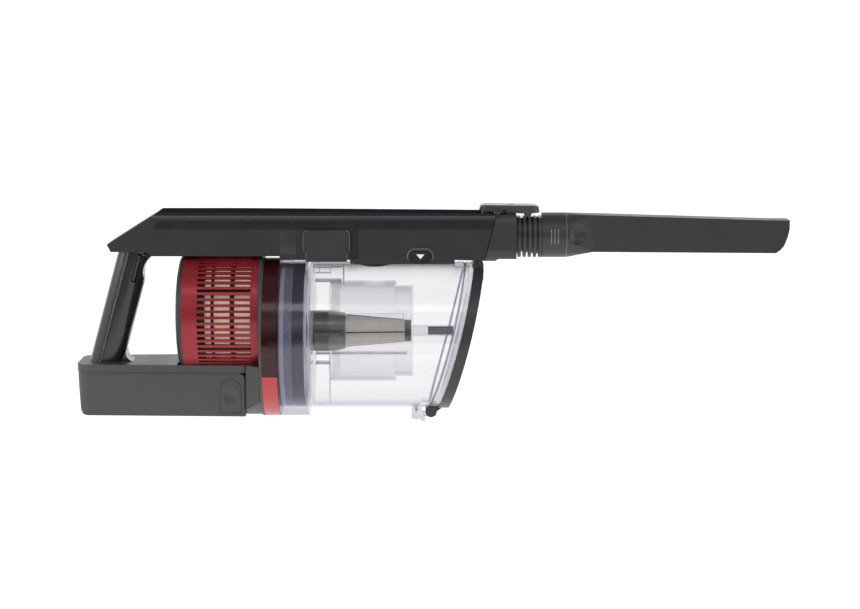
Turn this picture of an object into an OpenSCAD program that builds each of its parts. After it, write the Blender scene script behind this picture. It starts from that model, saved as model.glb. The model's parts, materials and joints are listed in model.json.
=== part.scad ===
// Cordless handheld vacuum: motor unit with grip, clear dust cup with a drop door,
// slide-on battery pack and crevice tool.
// X runs along the cup axis towards the nozzle, Y across, Z up. The lowest point, the toe of
// the cup latch, is at Z = 0, and X = 0 is half way between the battery and the tool's tip.

/* [Dust cup] */
// Outer radius of the clear cup
cup_r = 69.2; // [62:0.1:84]
// Wall of the clear cup
cup_wall = 2; // [1.6:0.1:2.6]
// Length of the cup from its collar to the door hinge
cup_len = 159.2; // [150:0.1:192]
// How far the collar stands outside the cup
collar_step = 6; // [5:0.1:8]
// Length of the collar
collar_len = 26.8; // [22.3:0.1:33]
// How far the collar's axis lies below the cup's axis
collar_drop = 2; // [1.5:0.1:2.4]
// Drop from the underside of the cup to the toe of its latch
latch_drop = 12.8; // [12:0.1:15]
// Lean of the door from upright, in degrees
door_tilt = 13.7; // [10:0.1:16]
// Radius of the door's gentle bulge
door_bulge_r = 894; // [750:1:1080]
// Thickness of the dark door frame
door_frame_t = 9.6; // [8:0.1:11]
// Depth of the clear door pane's skirt
door_skirt = 9; // [7.5:0.1:10.8]
// Radius of the catch knobs at the foot of the door
knob_r = 5.4; // [4.6:0.1:6]

/* [Cyclone] */
// Outer radius of the cyclone tube
cyclone_r = 47.6; // [40:0.1:52]
// Height of the cyclone's axis above the cup's axis
cyclone_rise = 3.5; // [2:0.1:5]
// Large radius of the hub
hub_r = 19.6; // [17:0.1:23]
// Length of the hub
hub_len = 30.5; // [26:0.1:36]
// Large radius of the mesh cone
cone_r = 15.2; // [13:0.1:16.8]
// Small radius of the mesh cone
cone_tip_r = 10.5; // [9:0.1:12]
// Length of the mesh cone
cone_len = 56; // [47:0.1:62]
// Outer radius of the clear axis tube
axis_tube_r = 5.4; // [4.6:0.1:6.4]

/* [Spine] */
// Width of the spine
spine_w = 48; // [46:0.5:57]
// Height of the spine over the motor
spine_h = 42; // [41:0.5:50]
// Wall of the spine shells
spine_wall = 2.4; // [2:0.1:3]
// Height of the gloss top cover
cover_h = 16.6; // [14:0.1:19]
// Clear height between the collar's top and the spine over the motor
rear_lift = 3.9; // [3.3:0.1:5]
// Length of the slope at the back of the spine
slope_len = 49; // [41:0.5:56]
// Height of the slope at the back of the spine
slope_h = 31; // [28:0.5:33]
// Fall of the spine's top from back to front
top_fall = 2.4; // [0:0.1:3]

/* [Nozzle and crevice tool] */
// Length of the nozzle body
nozzle_len = 30.3; // [28:0.1:36]
// Depth of the airway's axis below the spine's top
nozzle_drop = 24; // [23.4:0.1:25]
// Inner radius of the airway
airway_r = 15.4; // [13:0.1:15.8]
// Wall of the airway
airway_wall = 1.7; // [1.4:0.1:2]
// Outer radius of the tool's spigot
spigot_r = 17.4; // [16.6:0.1:17.8]
// Outer radius of the tool's collar and fins
tool_collar_r = 21.2; // [20:0.1:22.4]
// Length of the tool's collar
tool_collar_len = 23.8; // [20:0.1:28]
// Number of fins on the tool's neck
fin_count = 5; // [4:1:5]
// Pitch of the fins
fin_pitch = 4.85; // [4.6:0.05:5.2]
// Length of the tool's taper behind the blade
taper_len = 23.3; // [19.5:0.1:28]
// Length of the tool's blade
blade_len = 186.1; // [155:0.1:223]
// Height of the blade at its root
blade_h = 34.8; // [31:0.1:36]
// Width of the blade
blade_w = 24; // [20:0.5:29]

/* [Motor unit] */
// Outer radius of the slotted vent shroud
shroud_r = 56.4; // [52:0.1:60]
// Length of the vent shroud
shroud_len = 71.2; // [64:0.1:85]
// Wall of the vent shroud
shroud_wall = 2.2; // [1.8:0.1:2.6]
// Depth of the domed end cap
cap_depth = 6.4; // [5.4:0.1:7.6]
// Length of the slots in the shroud
slot_len = 50; // [42:0.5:54]
// Width of each slot
slot_w = 3.1; // [2.6:0.1:3.4]
// Angle from one row of slots to the next
slot_step = 5.8; // [5.4:0.1:6.4]
// Width of the red ring band
band_w = 15.8; // [13.2:0.1:19]
// Radius of the motor can
motor_r = 25; // [21:0.5:27]
// Length of the motor can
motor_len = 44; // [38:0.5:48]

/* [Grip and base] */
// Depth of the grip, front to back
grip_d = 31; // [28:0.5:34]
// Width of the grip
grip_w = 33; // [30:0.5:38]
// Lean of the grip, in degrees
grip_tilt = 15.3; // [14:0.1:16.5]
// Length of the battery pack
battery_len = 159.8; // [150:0.1:190]
// Height of the battery pack
battery_h = 41.2; // [40.6:0.1:41.2]
// Height of the battery's underside above the latch's toe
battery_lift = 9; // [7.6:0.1:9]
// Thickness of the base housing over the battery
base_h = 7; // [6:0.1:8]
// Width of the base at its back
base_w_back = 62; // [60:0.5:70]
// Width of the base at its front
base_w_front = 75; // [71:0.5:88]
// Length of the motor frame's foot in front of the battery
foot_len = 15.6; // [13:0.1:18.7]

/* [Hidden] */
$fn = 96;

// Clearances
gap = 0.3;      // between faces of pieces on different bodies
fit = 0.05;     // radial running clearance of a pin in its hole

// Heights
cup_z = latch_drop + cup_r;
collar_r = cup_r + collar_step;
collar_z = cup_z - collar_drop;
cyclone_z = cup_z + cyclone_rise;
spine_cup_z = cup_z + cup_r + 0.5;
spine_mid_z = collar_z + collar_r + 0.4;
spine_floor_z = collar_z + collar_r + rear_lift;
spine_top_z = spine_floor_z + spine_h;
cover_z = spine_top_z - cover_h;
nozzle_z = spine_top_z - nozzle_drop;
motor_z = spine_floor_z - gap - shroud_r;
battery_z1 = battery_lift + battery_h;
base_z0 = battery_z1 + gap;
base_z1 = base_z0 + base_h;

// Stations along X
knuckle_r = 5.3;
tool_neck_len = (fin_count - 1) * fin_pitch + 4.8;
rear_reach = band_w + foot_len + gap + battery_len;
front_reach = 2 * gap + collar_len + cup_len + knuckle_r + 0.5 + nozzle_len
    + tool_neck_len + tool_collar_len + taper_len + blade_len;
joint_x = (rear_reach - front_reach) / 2;
collar_x0 = joint_x + 2 * gap;
cup_x0 = collar_x0 + collar_len;
hinge_x = cup_x0 + cup_len;
hinge_z = cup_z + cup_r - 1.4;
nozzle_x0 = hinge_x + knuckle_r + 0.5;
mouth_x = nozzle_x0 + nozzle_len;
collar_tool_x = mouth_x + tool_neck_len;
taper_x = collar_tool_x + tool_collar_len;
blade_x = taper_x + taper_len;
tip_x = blade_x + blade_len;
band_x = joint_x - band_w;
plate_t = 2.6;
plate_x = band_x - plate_t;
foot_x = band_x - foot_len;
shroud_x = plate_x - shroud_len;
battery_x1 = foot_x - gap;
rear_x = battery_x1 - battery_len;
inlet_x = cup_x0 + 62;

// Door face: a shallow arc that leans with the door
door_chord = 2 * cup_r + 1;
arc_x = hinge_x - 3 - door_chord / 2 * sin(door_tilt) + (2.7 - door_bulge_r) * cos(door_tilt);
arc_z = hinge_z + 4.8 - door_chord / 2 * cos(door_tilt) - (2.7 - door_bulge_r) * sin(door_tilt);

// Grip line: a leaning axis from the spine to the base
grip_top_x = rear_x + 66.9;
grip_top_z = spine_floor_z - 9.6;
grip_reach = (grip_top_z - base_z1) / cos(grip_tilt) + grip_d;

module along_y(w) {
    rotate([90, 0, 0]) linear_extrude(height = w, center = true) children();
}

module along_x(x0, x1) {
    translate([x0, 0, 0]) rotate([90, 0, 90]) linear_extrude(height = x1 - x0) children();
}

module rod_x(r, x0, x1, z, y = 0) {
    translate([x0, y, z]) rotate([0, 90, 0]) cylinder(r = r, h = x1 - x0);
}

module rod_y(r, x, z, w) {
    translate([x, 0, z]) rotate([90, 0, 0]) cylinder(r = r, h = w, center = true);
}

module tube_x(r1, r0, x0, x1, z) {
    difference() {
        rod_x(r1, x0, x1, z);
        rod_x(r0, x0 - 1, x1 + 1, z);
    }
}

module cone_x(ra, rb, x0, x1, z) {
    translate([x0, 0, z]) rotate([0, 90, 0]) cylinder(r1 = ra, r2 = rb, h = x1 - x0);
}

// Upright block from its low and high corners
module block(a, b) {
    translate(a) cube(b - a);
}

// Rounded rectangle, centred across, from height z0 to z1
module slab2d(w, z0, z1, r_top, r_low) {
    h = z1 - z0;
    translate([-w / 2, z0 + r_low]) square([w, h - r_low - r_top]);
    translate([-w / 2 + r_top, z1 - r_top]) square([w - 2 * r_top, r_top]);
    translate([-w / 2 + r_low, z0]) square([w - 2 * r_low, r_low]);
    for (s = [-1, 1]) {
        translate([s * (w / 2 - r_top), z1 - r_top]) circle(r_top);
        translate([s * (w / 2 - r_low), z0 + r_low]) circle(r_low);
    }
}

// Coil spring as a stack of turns along Z
module coil(r, wire, turns, h) {
    steps = turns * 14;
    pts = [for (i = [0:steps], j = [0:5])
        let (a = 360 * i / 14, b = 60 * j, rr = r + wire / 2 * cos(b))
            [rr * cos(a), rr * sin(a), wire / 2 + (h - wire) * i / steps + wire / 2 * sin(b)]];
    sides = [for (i = [0:steps - 1], j = [0:5])
        let (k = (j + 1) % 6) [i * 6 + j, (i + 1) * 6 + j, (i + 1) * 6 + k, i * 6 + k]];
    first = [for (j = [0:5]) j];
    last = [for (j = [5:-1:0]) steps * 6 + j];
    polyhedron(points = pts, faces = concat(sides, [first, last]), convexity = 8);
}

// ---- Spine ----

module spine_side(inset = 0) {
    front_top = nozzle_x0 + 10.9 - inset;
    front_low = nozzle_x0 - inset;
    polygon([
        [rear_x + 29.9 + inset, spine_top_z - slope_h + inset / 2],
        [rear_x + 29.9 + slope_len + inset, spine_top_z - inset],
        [hinge_x - 240, spine_top_z - inset],
        [front_top, spine_top_z - top_fall - inset],
        [front_low, spine_mid_z - 0.6 + inset],
        [hinge_x - 22, spine_mid_z + inset],
        [hinge_x - 22, spine_cup_z + inset],
        [cup_x0 + 39, spine_cup_z + inset],
        [cup_x0 + 39, spine_mid_z + inset],
        [joint_x + gap, spine_mid_z + inset],
        [joint_x + gap, spine_floor_z + inset],
        [rear_x + 72, spine_floor_z + inset],
        [rear_x + 66, spine_floor_z + 4 + inset],
        [rear_x + 33.5 + inset, spine_floor_z + 4 + inset]
    ]);
}

module spine_solid() {
    intersection() {
        along_y(spine_w + 4) spine_side();
        along_x(rear_x, mouth_x) slab2d(spine_w, spine_cup_z - 2, spine_top_z, 9, 3);
    }
}

module spine_void() {
    intersection() {
        along_y(spine_w) spine_side(spine_wall);
        along_x(rear_x, mouth_x)
            slab2d(spine_w - 2 * spine_wall, spine_cup_z, spine_top_z - spine_wall, 6.6, 2);
    }
}

// Region of the gloss cover: everything above its lower edge, from the slope forwards
module cover_zone(clear = 0) {
    along_y(spine_w + 8) polygon([
        [rear_x + 75.5 - clear, cover_z - clear],
        [nozzle_x0 + 40, cover_z - clear],
        [nozzle_x0 + 40, spine_top_z + 5],
        [rear_x + 58, spine_top_z + 5],
        [rear_x + 75.5 - clear, spine_top_z - 9 - clear]
    ]);
}

button_x = cup_x0 + 105;
button_z = spine_cup_z + 7;
button_half = 4.7;
button_r = 5.4;

module button_outline(grow = 0) {
    for (s = [-1, 1]) translate([button_x + s * button_half, button_z]) circle(button_r + grow);
    translate([button_x - button_half, button_z - button_r - grow])
        square([2 * button_half, 2 * (button_r + grow)]);
}

module side_slice(y0, y1) {
    translate([0, y1, 0]) rotate([90, 0, 0]) linear_extrude(height = y1 - y0) children();
}

module spine_body() color([0.22, 0.21, 0.21]) difference() {
    union() {
        difference() {
            spine_solid();
            spine_void();
            cover_zone(0.15);
        }
        // raised rim around the cup release button
        difference() {
            side_slice(-spine_w / 2 - 0.8, -spine_w / 2 + 1) button_outline(2.6);
            block([button_x - 20, -spine_w, spine_cup_z - 9], [button_x + 20, 0, spine_cup_z + 0.6]);
        }
        // seat for the button's spring
        block([button_x - 6, -14.6, spine_cup_z + 1], [button_x + 6, -12.6, button_z + 3.4]);
        // shelf that carries the control board
        block([shroud_x + 4, -spine_w / 2 + 1, spine_floor_z + 6],
            [shroud_x + 6, spine_w / 2 - 1, spine_floor_z + 12]);
        block([shroud_x + 60, -spine_w / 2 + 1, spine_floor_z + 6],
            [shroud_x + 62, spine_w / 2 - 1, spine_floor_z + 12]);
    }
    side_slice(-spine_w / 2 - 2, -spine_w / 2 + 7) button_outline(gap);
    translate([inlet_x, 0, spine_cup_z - 3]) cylinder(r = airway_r + 4.5, h = 3 + spine_wall + 0.1);
    nozzle_way();
}

// Way for the airway and the tool's spigot into the nozzle
module nozzle_way() {
    rod_x(spigot_r + gap, nozzle_x0 - 8, mouth_x, nozzle_z);
}

lever_x0 = nozzle_x0 - 4.9;
lever_x1 = collar_tool_x - 1.9;
lever_w = 24;
lever_pin_x = nozzle_x0 + 19;
lever_pin_z = spine_top_z - 0.6;
lever_pin_r = 1.5;

module lever_well() {
    block([lever_x0 - 0.6, -lever_w / 2 - 0.5, spine_top_z - 6],
        [lever_pin_x - 7, lever_w / 2 + 0.5, spine_top_z + 1]);
}

module top_cover() color([0.15, 0.14, 0.16]) difference() {
    intersection() {
        spine_solid();
        cover_zone();
    }
    spine_void();
    lever_well();
    nozzle_way();
}

module nozzle_side() {
    seam_top = nozzle_x0 + 10.9 + gap;
    top = spine_top_z - top_fall - 1;
    low = nozzle_z - tool_collar_r;
    // the seam follows the slanted front of the spine
    seam_rise = (low - 2.8 - spine_mid_z + 0.6) / (spine_top_z - top_fall - spine_mid_z + 0.6);
    seam_low = nozzle_x0 + 10.9 * max(seam_rise, 0) + gap;
    polygon([
        [seam_top, top],
        [mouth_x, top],
        [mouth_x, low],
        [seam_low + 12.9, low],
        [seam_low + 9.5, low - 2.8],
        [seam_low, low - 2.8]
    ]);
}

module nozzle_body() color([0.24, 0.23, 0.23]) difference() {
    union() {
        intersection() {
            along_y(spine_w) nozzle_side();
            along_x(nozzle_x0 - 5, mouth_x + 5)
                slab2d(spine_w - 2, nozzle_z - tool_collar_r - 2.8, spine_top_z, 14, 12);
        }
        // ears that hold the lever's pin
        for (s = [-1, 1]) hull() {
            translate([0, s * 7, 0]) rod_y(2.6, lever_pin_x, lever_pin_z, 3);
            translate([lever_pin_x - 4, s * 7 - 1.5, spine_top_z - 7]) cube([8, 3, 2]);
        }
    }
    rod_x(spigot_r + 0.2, nozzle_x0 - 10, mouth_x + 1, nozzle_z);
    rod_y(lever_pin_r, lever_pin_x, lever_pin_z, 40);
    lever_well();
}

module saddle_brackets() color([0.25, 0.24, 0.24]) {
    top = cover_z - 0.6;
    low = spine_mid_z - 1.4;
    x0 = cup_x0 - 5.2;
    x1 = x0 + 44.4;
    for (s = [-1, 1]) translate([0, s * (spine_w / 2 + 1), 0]) along_y(1.96) {
        hull() for (x = [x0 + 5, x1 - 5]) translate([x, top - 5]) circle(5, $fn = 32);
        polygon([[x0, top - 5], [x1, top - 5], [x1, low + 9.6], [x1 - 2.9, low + 8.6],
            [x1 - 2.9, low], [x0 + 2.6, low], [x0 + 2.6, low + 8.6], [x0, low + 9.6]]);
    }
}

spigot_x = nozzle_x0 + 6;
duct_foot_z = spine_cup_z + spine_wall + 0.2;

module airway_duct() color([0.3, 0.3, 0.32]) difference() {
    union() {
        rod_x(airway_r + airway_wall, inlet_x, spigot_x - 0.6, nozzle_z);
        translate([inlet_x, 0, duct_foot_z])
            cylinder(r = airway_r + airway_wall, h = nozzle_z - duct_foot_z);
        translate([inlet_x, 0, nozzle_z]) sphere(r = airway_r + airway_wall);
    }
    rod_x(airway_r, inlet_x, mouth_x, nozzle_z);
    translate([inlet_x, 0, spine_cup_z - 1]) cylinder(r = airway_r, h = nozzle_z - spine_cup_z + 1);
    translate([inlet_x, 0, nozzle_z]) sphere(r = airway_r);
}

module inlet_seal() color([0.1, 0.1, 0.1]) difference() {
    translate([inlet_x, 0, spine_cup_z - 4.6])
        cylinder(r = airway_r + 4.4, h = 4.6 + spine_wall + 0.1);
    translate([inlet_x, 0, spine_cup_z - 9]) cylinder(r = airway_r, h = 20);
    rod_x(cup_r + gap, cup_x0, hinge_x, cup_z);
}

// ---- Grip ----

module grip_section(inset) {
    r = 14 - inset;
    w = grip_w - 2 * inset;
    d = grip_d - 2 * inset;
    for (sx = [-1, 1], sy = [-1, 1])
        translate([sx * (d / 2 - r), sy * (w / 2 - r)]) circle(r);
    square([d, w - 2 * r], center = true);
    square([d - 2 * r, w], center = true);
}

module grip_frame() {
    translate([grip_top_x, 0, grip_top_z]) rotate([0, grip_tilt, 0]) children();
}

module grip_bar(inset = 0) {
    grip_frame() translate([-grip_d / 2, 0, -grip_reach])
        linear_extrude(height = grip_reach + 35) grip_section(inset);
}

module grip_band() {
    block([rear_x - 20, -40, base_z1], [rear_x + 120, 40, spine_floor_z + 4]);
}

// Fillets where the grip meets the spine and the base
module grip_flares() {
    x_top = rear_x + 72.9;
    along_y(grip_w - 10) difference() {
        polygon([[x_top - 9, spine_floor_z], [x_top, spine_floor_z], [x_top - 5, spine_floor_z - 7]]);
        translate([x_top + 2.2, spine_floor_z - 6.6]) circle(6.6);
    }
    along_y(grip_w - 10) difference() {
        polygon([[rear_x + 40, base_z1], [rear_x + 51, base_z1], [rear_x + 44.5, base_z1 + 10]]);
        translate([rear_x + 52.6, base_z1 + 8]) circle(8);
    }
}

module grip_solid() {
    difference() {
        intersection() {
            union() {
                grip_bar();
                grip_flares();
            }
            grip_band();
        }
        along_y(80) spine_side(-0.05);
    }
}

module grip_back_zone(clear = 0) {
    grip_frame() translate([-grip_d - 8, -40, -grip_reach]) cube([19 + clear, 80, grip_reach + 60]);
}

trigger_h = 26;      // height of the trigger along the grip
trigger_d = 11;      // depth of the trigger into the grip
trigger_face_d = 6.6;  // depth of the trigger's full-width face
trigger_rise = 8.6;  // height of the trigger's top above the grip's reference point
pin_in = 7.6;        // depth of the trigger's pin behind the grip's front
pin_up = 3;          // height of the pin above the grip's reference point
trigger_pin_x = grip_top_x - pin_in * cos(grip_tilt) + pin_up * sin(grip_tilt);
trigger_pin_z = grip_top_z + pin_in * sin(grip_tilt) + pin_up * cos(grip_tilt);

// Distance from the pin to the trigger's lower front edge; its lower end is turned about the pin
trigger_reach = norm([pin_in, trigger_h - trigger_rise + pin_up]);

module trigger_zone(clear = 0, depth = trigger_d) {
    intersection() {
        grip_frame() translate([-depth - clear, -40, trigger_rise - trigger_h - 2])
            cube([40, 80, trigger_h + 2 + clear]);
        rod_y(trigger_reach + clear, trigger_pin_x, trigger_pin_z, 80);
    }
}

module grip_front() color([0.21, 0.2, 0.2]) difference() {
    union() {
        difference() {
            grip_solid();
            grip_bar(2.6);
            grip_back_zone(0.15);
            trigger_zone(0.4);
        }
        // tongue that carries the trigger's pin
        intersection() {
            grip_frame() translate([-19, -3.8, -0.5]) cube([13.3, 7.6, 8]);
            grip_band();
        }
        // wall across the grip behind the trigger, which closes the hand side
        grip_frame() translate([-grip_d + 11.4, -grip_w / 2 + 2, -24]) cube([1.6, grip_w - 4, 30]);
    }
    rod_y(1.5, trigger_pin_x, trigger_pin_z, 40);
}

module grip_back() color([0.26, 0.25, 0.25]) difference() {
    intersection() {
        grip_solid();
        grip_back_zone();
    }
    grip_bar(2.6);
}

module trigger() color([0.2, 0.19, 0.19]) difference() {
    intersection() {
        union() {
            intersection() {
                grip_bar(0.4);
                trigger_zone(0, trigger_face_d);
            }
            grip_bar(2.9);
            grip_flares();
        }
        trigger_zone();
        block([rear_x, -grip_w, base_z1], [rear_x + 120, grip_w, spine_floor_z - 0.6]);
    }
    // finger recess
    grip_frame() translate([16.6, 0, -4]) rotate([90, 0, 0])
        cylinder(r = 20, h = 60, center = true);
    // slot over the tongue, the pin's hole and pockets for the springs
    grip_frame() translate([-20, -4.4, -1.5]) cube([15.4, 8.8, 30]);
    rod_y(1.5 + fit, trigger_pin_x, trigger_pin_z, 60);
    for (s = [-1, 1]) translate([0, s * 7.2, 0]) rod_y(3.5, trigger_pin_x, trigger_pin_z, 2.6);
}

module trigger_pin() color([0.7, 0.7, 0.72]) rod_y(1.5, trigger_pin_x, trigger_pin_z, 26);

module trigger_spring() color([0.75, 0.75, 0.77])
    for (s = [-1, 1]) translate([trigger_pin_x, s * 7.2, trigger_pin_z]) rotate([90, 0, 0])
        difference() {
            cylinder(r = 3, h = 1.8, center = true);
            cylinder(r = 1.8, h = 4, center = true);
        }

module power_switch() color([0.1, 0.1, 0.1]) {
    grip_frame() translate([-grip_d + 13.1, -3, -10]) cube([3.8, 6, 9]);
}

// ---- Base ----

module base_plan(inset = 0) {
    offset(delta = -inset) hull() for (s = [-1, 1]) {
        translate([rear_x + 12, s * (base_w_back / 2 - 12)]) circle(12, $fn = 64);
        translate([foot_x - 2, s * (base_w_front / 2 - 2)]) circle(2, $fn = 32);
    }
}

module shroud_clear(x0, x1) {
    rod_x(shroud_r + gap, x0, x1, motor_z);
}

module base_housing() color([0.26, 0.25, 0.25]) difference() {
    translate([0, 0, base_z0]) linear_extrude(height = base_h) base_plan();
    translate([0, 0, base_z0 - 1]) linear_extrude(height = base_h - 1.4) base_plan(1.9);
    shroud_clear(shroud_x - cap_depth - gap, foot_x + 1);
}

module motor_frame() color([0.27, 0.26, 0.26]) difference() {
    union() {
        rod_x(shroud_r, plate_x, band_x, motor_z);
        intersection() {
            translate([0, 0, battery_lift]) linear_extrude(height = base_z1 - battery_lift)
                polygon([[foot_x, -base_w_front / 2], [band_x - 3, -base_w_front / 2 - 12],
                    [band_x, -base_w_front / 2 - 12], [band_x, base_w_front / 2 + 12],
                    [band_x - 3, base_w_front / 2 + 12], [foot_x, base_w_front / 2]]);
            rod_x(collar_r - 0.6, foot_x, band_x, collar_z);
        }
        // rim behind the ring
        difference() {
            rod_x(collar_r, band_x - 0.8, band_x + rim_t, collar_z);
            spine_flat();
        }
    }
    rod_x(motor_r + 1.2, plate_x - 1, band_x + rim_t + 1, motor_z);
    rod_x(shroud_r + 0.1, foot_x - 1, plate_x, motor_z);
    // pocket for the terminal block
    block([foot_x - 1, -17, battery_lift + 18], [foot_x + 9, 17, battery_lift + 30]);
}

module motor_end_cap() color([0.2, 0.2, 0.2]) difference() {
    translate([shroud_x - cap_depth, 0, motor_z]) rotate([0, 90, 0]) rotate_extrude()
        polygon([[0, 0], [shroud_r - 12, 0], [shroud_r - 4, 1.6], [shroud_r - 1, 3.8],
            [shroud_r, cap_depth], [0, cap_depth]]);
    rod_x(shroud_r - 5, shroud_x - cap_depth + 2.4, shroud_x + 1, motor_z);
}

module vent_shroud() color([0.55, 0.06, 0.1]) difference() {
    tube_x(shroud_r, shroud_r - shroud_wall, shroud_x, plate_x - 0.1, motor_z);
    slot_x = shroud_x + 14.6;
    for (i = [-14:14], s = [-1, 1]) translate([slot_x, 0, motor_z])
        rotate([s > 0 ? 0 : 180, 0, 0]) rotate([-i * slot_step, 0, 0])
            translate([0, shroud_r - 6, -slot_w / 2]) cube([slot_len, 12, slot_w]);
}

media_x0 = shroud_x + 21;
media_x1 = media_x0 + 43;

module filter_frame() color([0.12, 0.12, 0.13]) {
    difference() {
        tube_x(shroud_r - 4, shroud_r - 6, shroud_x + 1, plate_x - 0.2, motor_z);
        // windows that leave two hoops and six ribs over the media
        for (a = [0:60:300], w = [[0.1, 5.9], [9, 14.8], [28, 14.8]])
            translate([media_x0 + w[0], 0, motor_z]) rotate([a, 0, 0])
                translate([0, shroud_r - 16, -(shroud_r - 9) / 2]) cube([w[1], 20, shroud_r - 9]);
    }
    for (x = [shroud_x + 1, media_x0 - 3, media_x1, plate_x - 3.2])
        tube_x(shroud_r - 5, motor_r + 5, x, x + 3, motor_z);
}

module filter_media() color([0.85, 0.8, 0.7])
    tube_x(shroud_r - 7.2, motor_r + 8, media_x0 + 0.2, media_x1 - 0.2, motor_z);

rim_t = 1.6;
ring_x = band_x + rim_t + 0.1;
band_top_z = base_z1 - 6;

module ring_band() color([0.8, 0.25, 0.25]) difference() {
    tube_x(collar_r, collar_r - 6, ring_x, joint_x, collar_z);
    block([band_x, -collar_r - 1, band_top_z], [joint_x + 1, collar_r + 1, spine_top_z]);
}

module ring_window() color([0.3, 0.05, 0.06]) difference() {
    tube_x(collar_r - 0.1, collar_r - 2.6, ring_x, joint_x, collar_z);
    block([band_x, -collar_r, 0], [joint_x + 1, collar_r, band_top_z + 0.1]);
    spine_flat();
}

// Flat under the spine, cut from what stands against it
module spine_flat() {
    block([band_x - 1, -collar_r, spine_floor_z - 0.3], [joint_x + 1, collar_r, spine_top_z]);
}

module motor_can() color([0.3, 0.3, 0.32]) difference() {
    rod_x(motor_r, band_x - motor_len, band_x - 1, motor_z);
    rod_x(motor_r - 2, band_x - motor_len + 2, band_x - 3, motor_z);
    rod_x(8, band_x - motor_len - 1, band_x + 1, motor_z);
}

module motor_mounts() color([0.1, 0.1, 0.1])
    for (x = [band_x - motor_len + 3, band_x - 9])
        tube_x(motor_r + 4.9, motor_r + 0.1, x, x + 5, motor_z);

shaft_r = 2.5;
bearing_r = 8;

module bearings() color([0.75, 0.76, 0.78])
    for (x = [band_x - motor_len, band_x - 5])
        tube_x(bearing_r - 0.02, shaft_r + fit, x, x + 4, motor_z);

module motor_shaft() color([0.8, 0.8, 0.82])
    rod_x(shaft_r, band_x - motor_len - 3, joint_x - 3, motor_z);

module armature() color([0.6, 0.35, 0.2]) difference() {
    rod_x(motor_r - 5, band_x - motor_len + 8, band_x - 9, motor_z);
    rod_x(shaft_r + 0.02, band_x - motor_len, band_x, motor_z);
}

module impeller() color([0.75, 0.75, 0.78]) difference() {
    union() {
        rod_x(30, band_x + 3, band_x + 4.6, motor_z);
        rod_x(6, band_x + 3, joint_x - 4, motor_z);
        for (a = [0:40:320]) translate([band_x + 4.4, 0, motor_z]) rotate([a, 0, 0])
            rotate([20, 0, 0]) translate([0, 5, -0.6]) cube([5.4, 24, 1.2]);
    }
    rod_x(shaft_r + 0.02, band_x, joint_x, motor_z);
}

module control_board() color([0.1, 0.35, 0.2]) {
    z = spine_floor_z + 12.1;
    block([shroud_x + 2, -16, z], [shroud_x + 66, 16, z + 1.6]);
    block([shroud_x + 12, -8, z + 1.6], [shroud_x + 24, 4, z + 9]);
    block([shroud_x + 36, -6, z + 1.6], [shroud_x + 44, 8, z + 6]);
}

module base_terminal() color([0.08, 0.08, 0.08]) difference() {
    block([foot_x + 0.4, -16.8, battery_lift + 18.2], [foot_x + 8.8, 16.8, battery_lift + 29.8]);
    for (y = [-10, 0, 10]) block([foot_x - 1, y - 1.4, battery_lift + 20.6],
        [foot_x + 7.6, y + 1.4, battery_lift + 27.4]);
}

module screws() color([0.7, 0.7, 0.72]) {
    // saddle bracket screws
    for (s = [-1, 1], x = [cup_x0 + 4, cup_x0 + 30])
        translate([x, s * (spine_w / 2 - spine_wall - 1.3), spine_mid_z + 12]) rotate([90, 0, 0])
            cylinder(r = 2.4, h = 2.4, center = true);
    // end cap screws, heads inside the cap
    for (a = [45:90:315]) translate([shroud_x - 1.9, 0, motor_z]) rotate([a, 0, 0])
        translate([0, shroud_r - 9, 0]) rotate([0, 90, 0]) cylinder(r = 2.4, h = 2);
}

// ---- Tool lever ----

lever_z0 = spine_top_z - top_fall + 0.5;

module lever_side() {
    z0 = lever_z0;
    z1 = spine_top_z + 5.2;
    polygon([
        [lever_x0, z0 + 1.4],
        [lever_x0 + 1.6, z1 - 1],
        [lever_x0 + 5, z1],
        [lever_x1 - 5, z1 - 0.6],
        [lever_x1 - 1, z1 - 2],
        [lever_x1, z0 - 0.4],
        [lever_x1 - 8, z0 - 1],
        [lever_x1 - 8.6, z0 - 4.4],
        [lever_x1 - 14, z0 - 4.4],
        [lever_x1 - 15.4, z0 - 1],
        [lever_pin_x - 7.4, z0],
    ]);
}

module tool_lever() color([0.35, 0.34, 0.34]) difference() {
    intersection() {
        along_y(lever_w) lever_side();
        hull() for (x = [lever_x0 + 9, lever_x1 - 9], s = [-1, 1])
            translate([x, s * (lever_w / 2 - 9), spine_top_z - 20])
                cylinder(r = 9, h = 40, $fn = 48);
    }
    // room for the pin's ears
    block([lever_pin_x - 4.6, -9.2, spine_top_z - 8], [lever_pin_x + 4.6, 9.2, lever_pin_z + 3.2]);
    rod_y(lever_pin_r + fit, lever_pin_x, lever_pin_z, 40);
    // thumb dimple
    translate([lever_x0 + 31, 0, spine_top_z + 12.6]) sphere(r = 8.6);
}

module lever_pin() color([0.7, 0.7, 0.72]) rod_y(lever_pin_r, lever_pin_x, lever_pin_z, lever_w - 1.6);

lever_spring_z = nozzle_z + airway_r + airway_wall + 0.1;

module lever_spring() color([0.75, 0.75, 0.77])
    translate([lever_x0 + 6, 0, lever_spring_z]) coil(3, 0.7, 4, lever_z0 + 0.5 - lever_spring_z);

// ---- Cup release button ----

module cup_button() color([0.2, 0.19, 0.2]) {
    face = -spine_w / 2 - 0.6;
    difference() {
        side_slice(face, face + 3.4) button_outline();
        side_slice(face - 1, face + 0.5) polygon([[button_x - 4.2, button_z + 2.4],
            [button_x + 4.2, button_z + 2.4], [button_x, button_z - 2.6]]);
    }
    side_slice(face + 3.4, face + 5) translate([button_x, button_z]) circle(2);
}

module cup_button_spring() color([0.75, 0.75, 0.77])
    translate([button_x, -14.7, button_z]) rotate([90, 0, 0])
        coil(2.8, 0.6, 5, spine_w / 2 + 0.6 - 3.5 - 14.7);

// ---- Crevice tool ----

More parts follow.
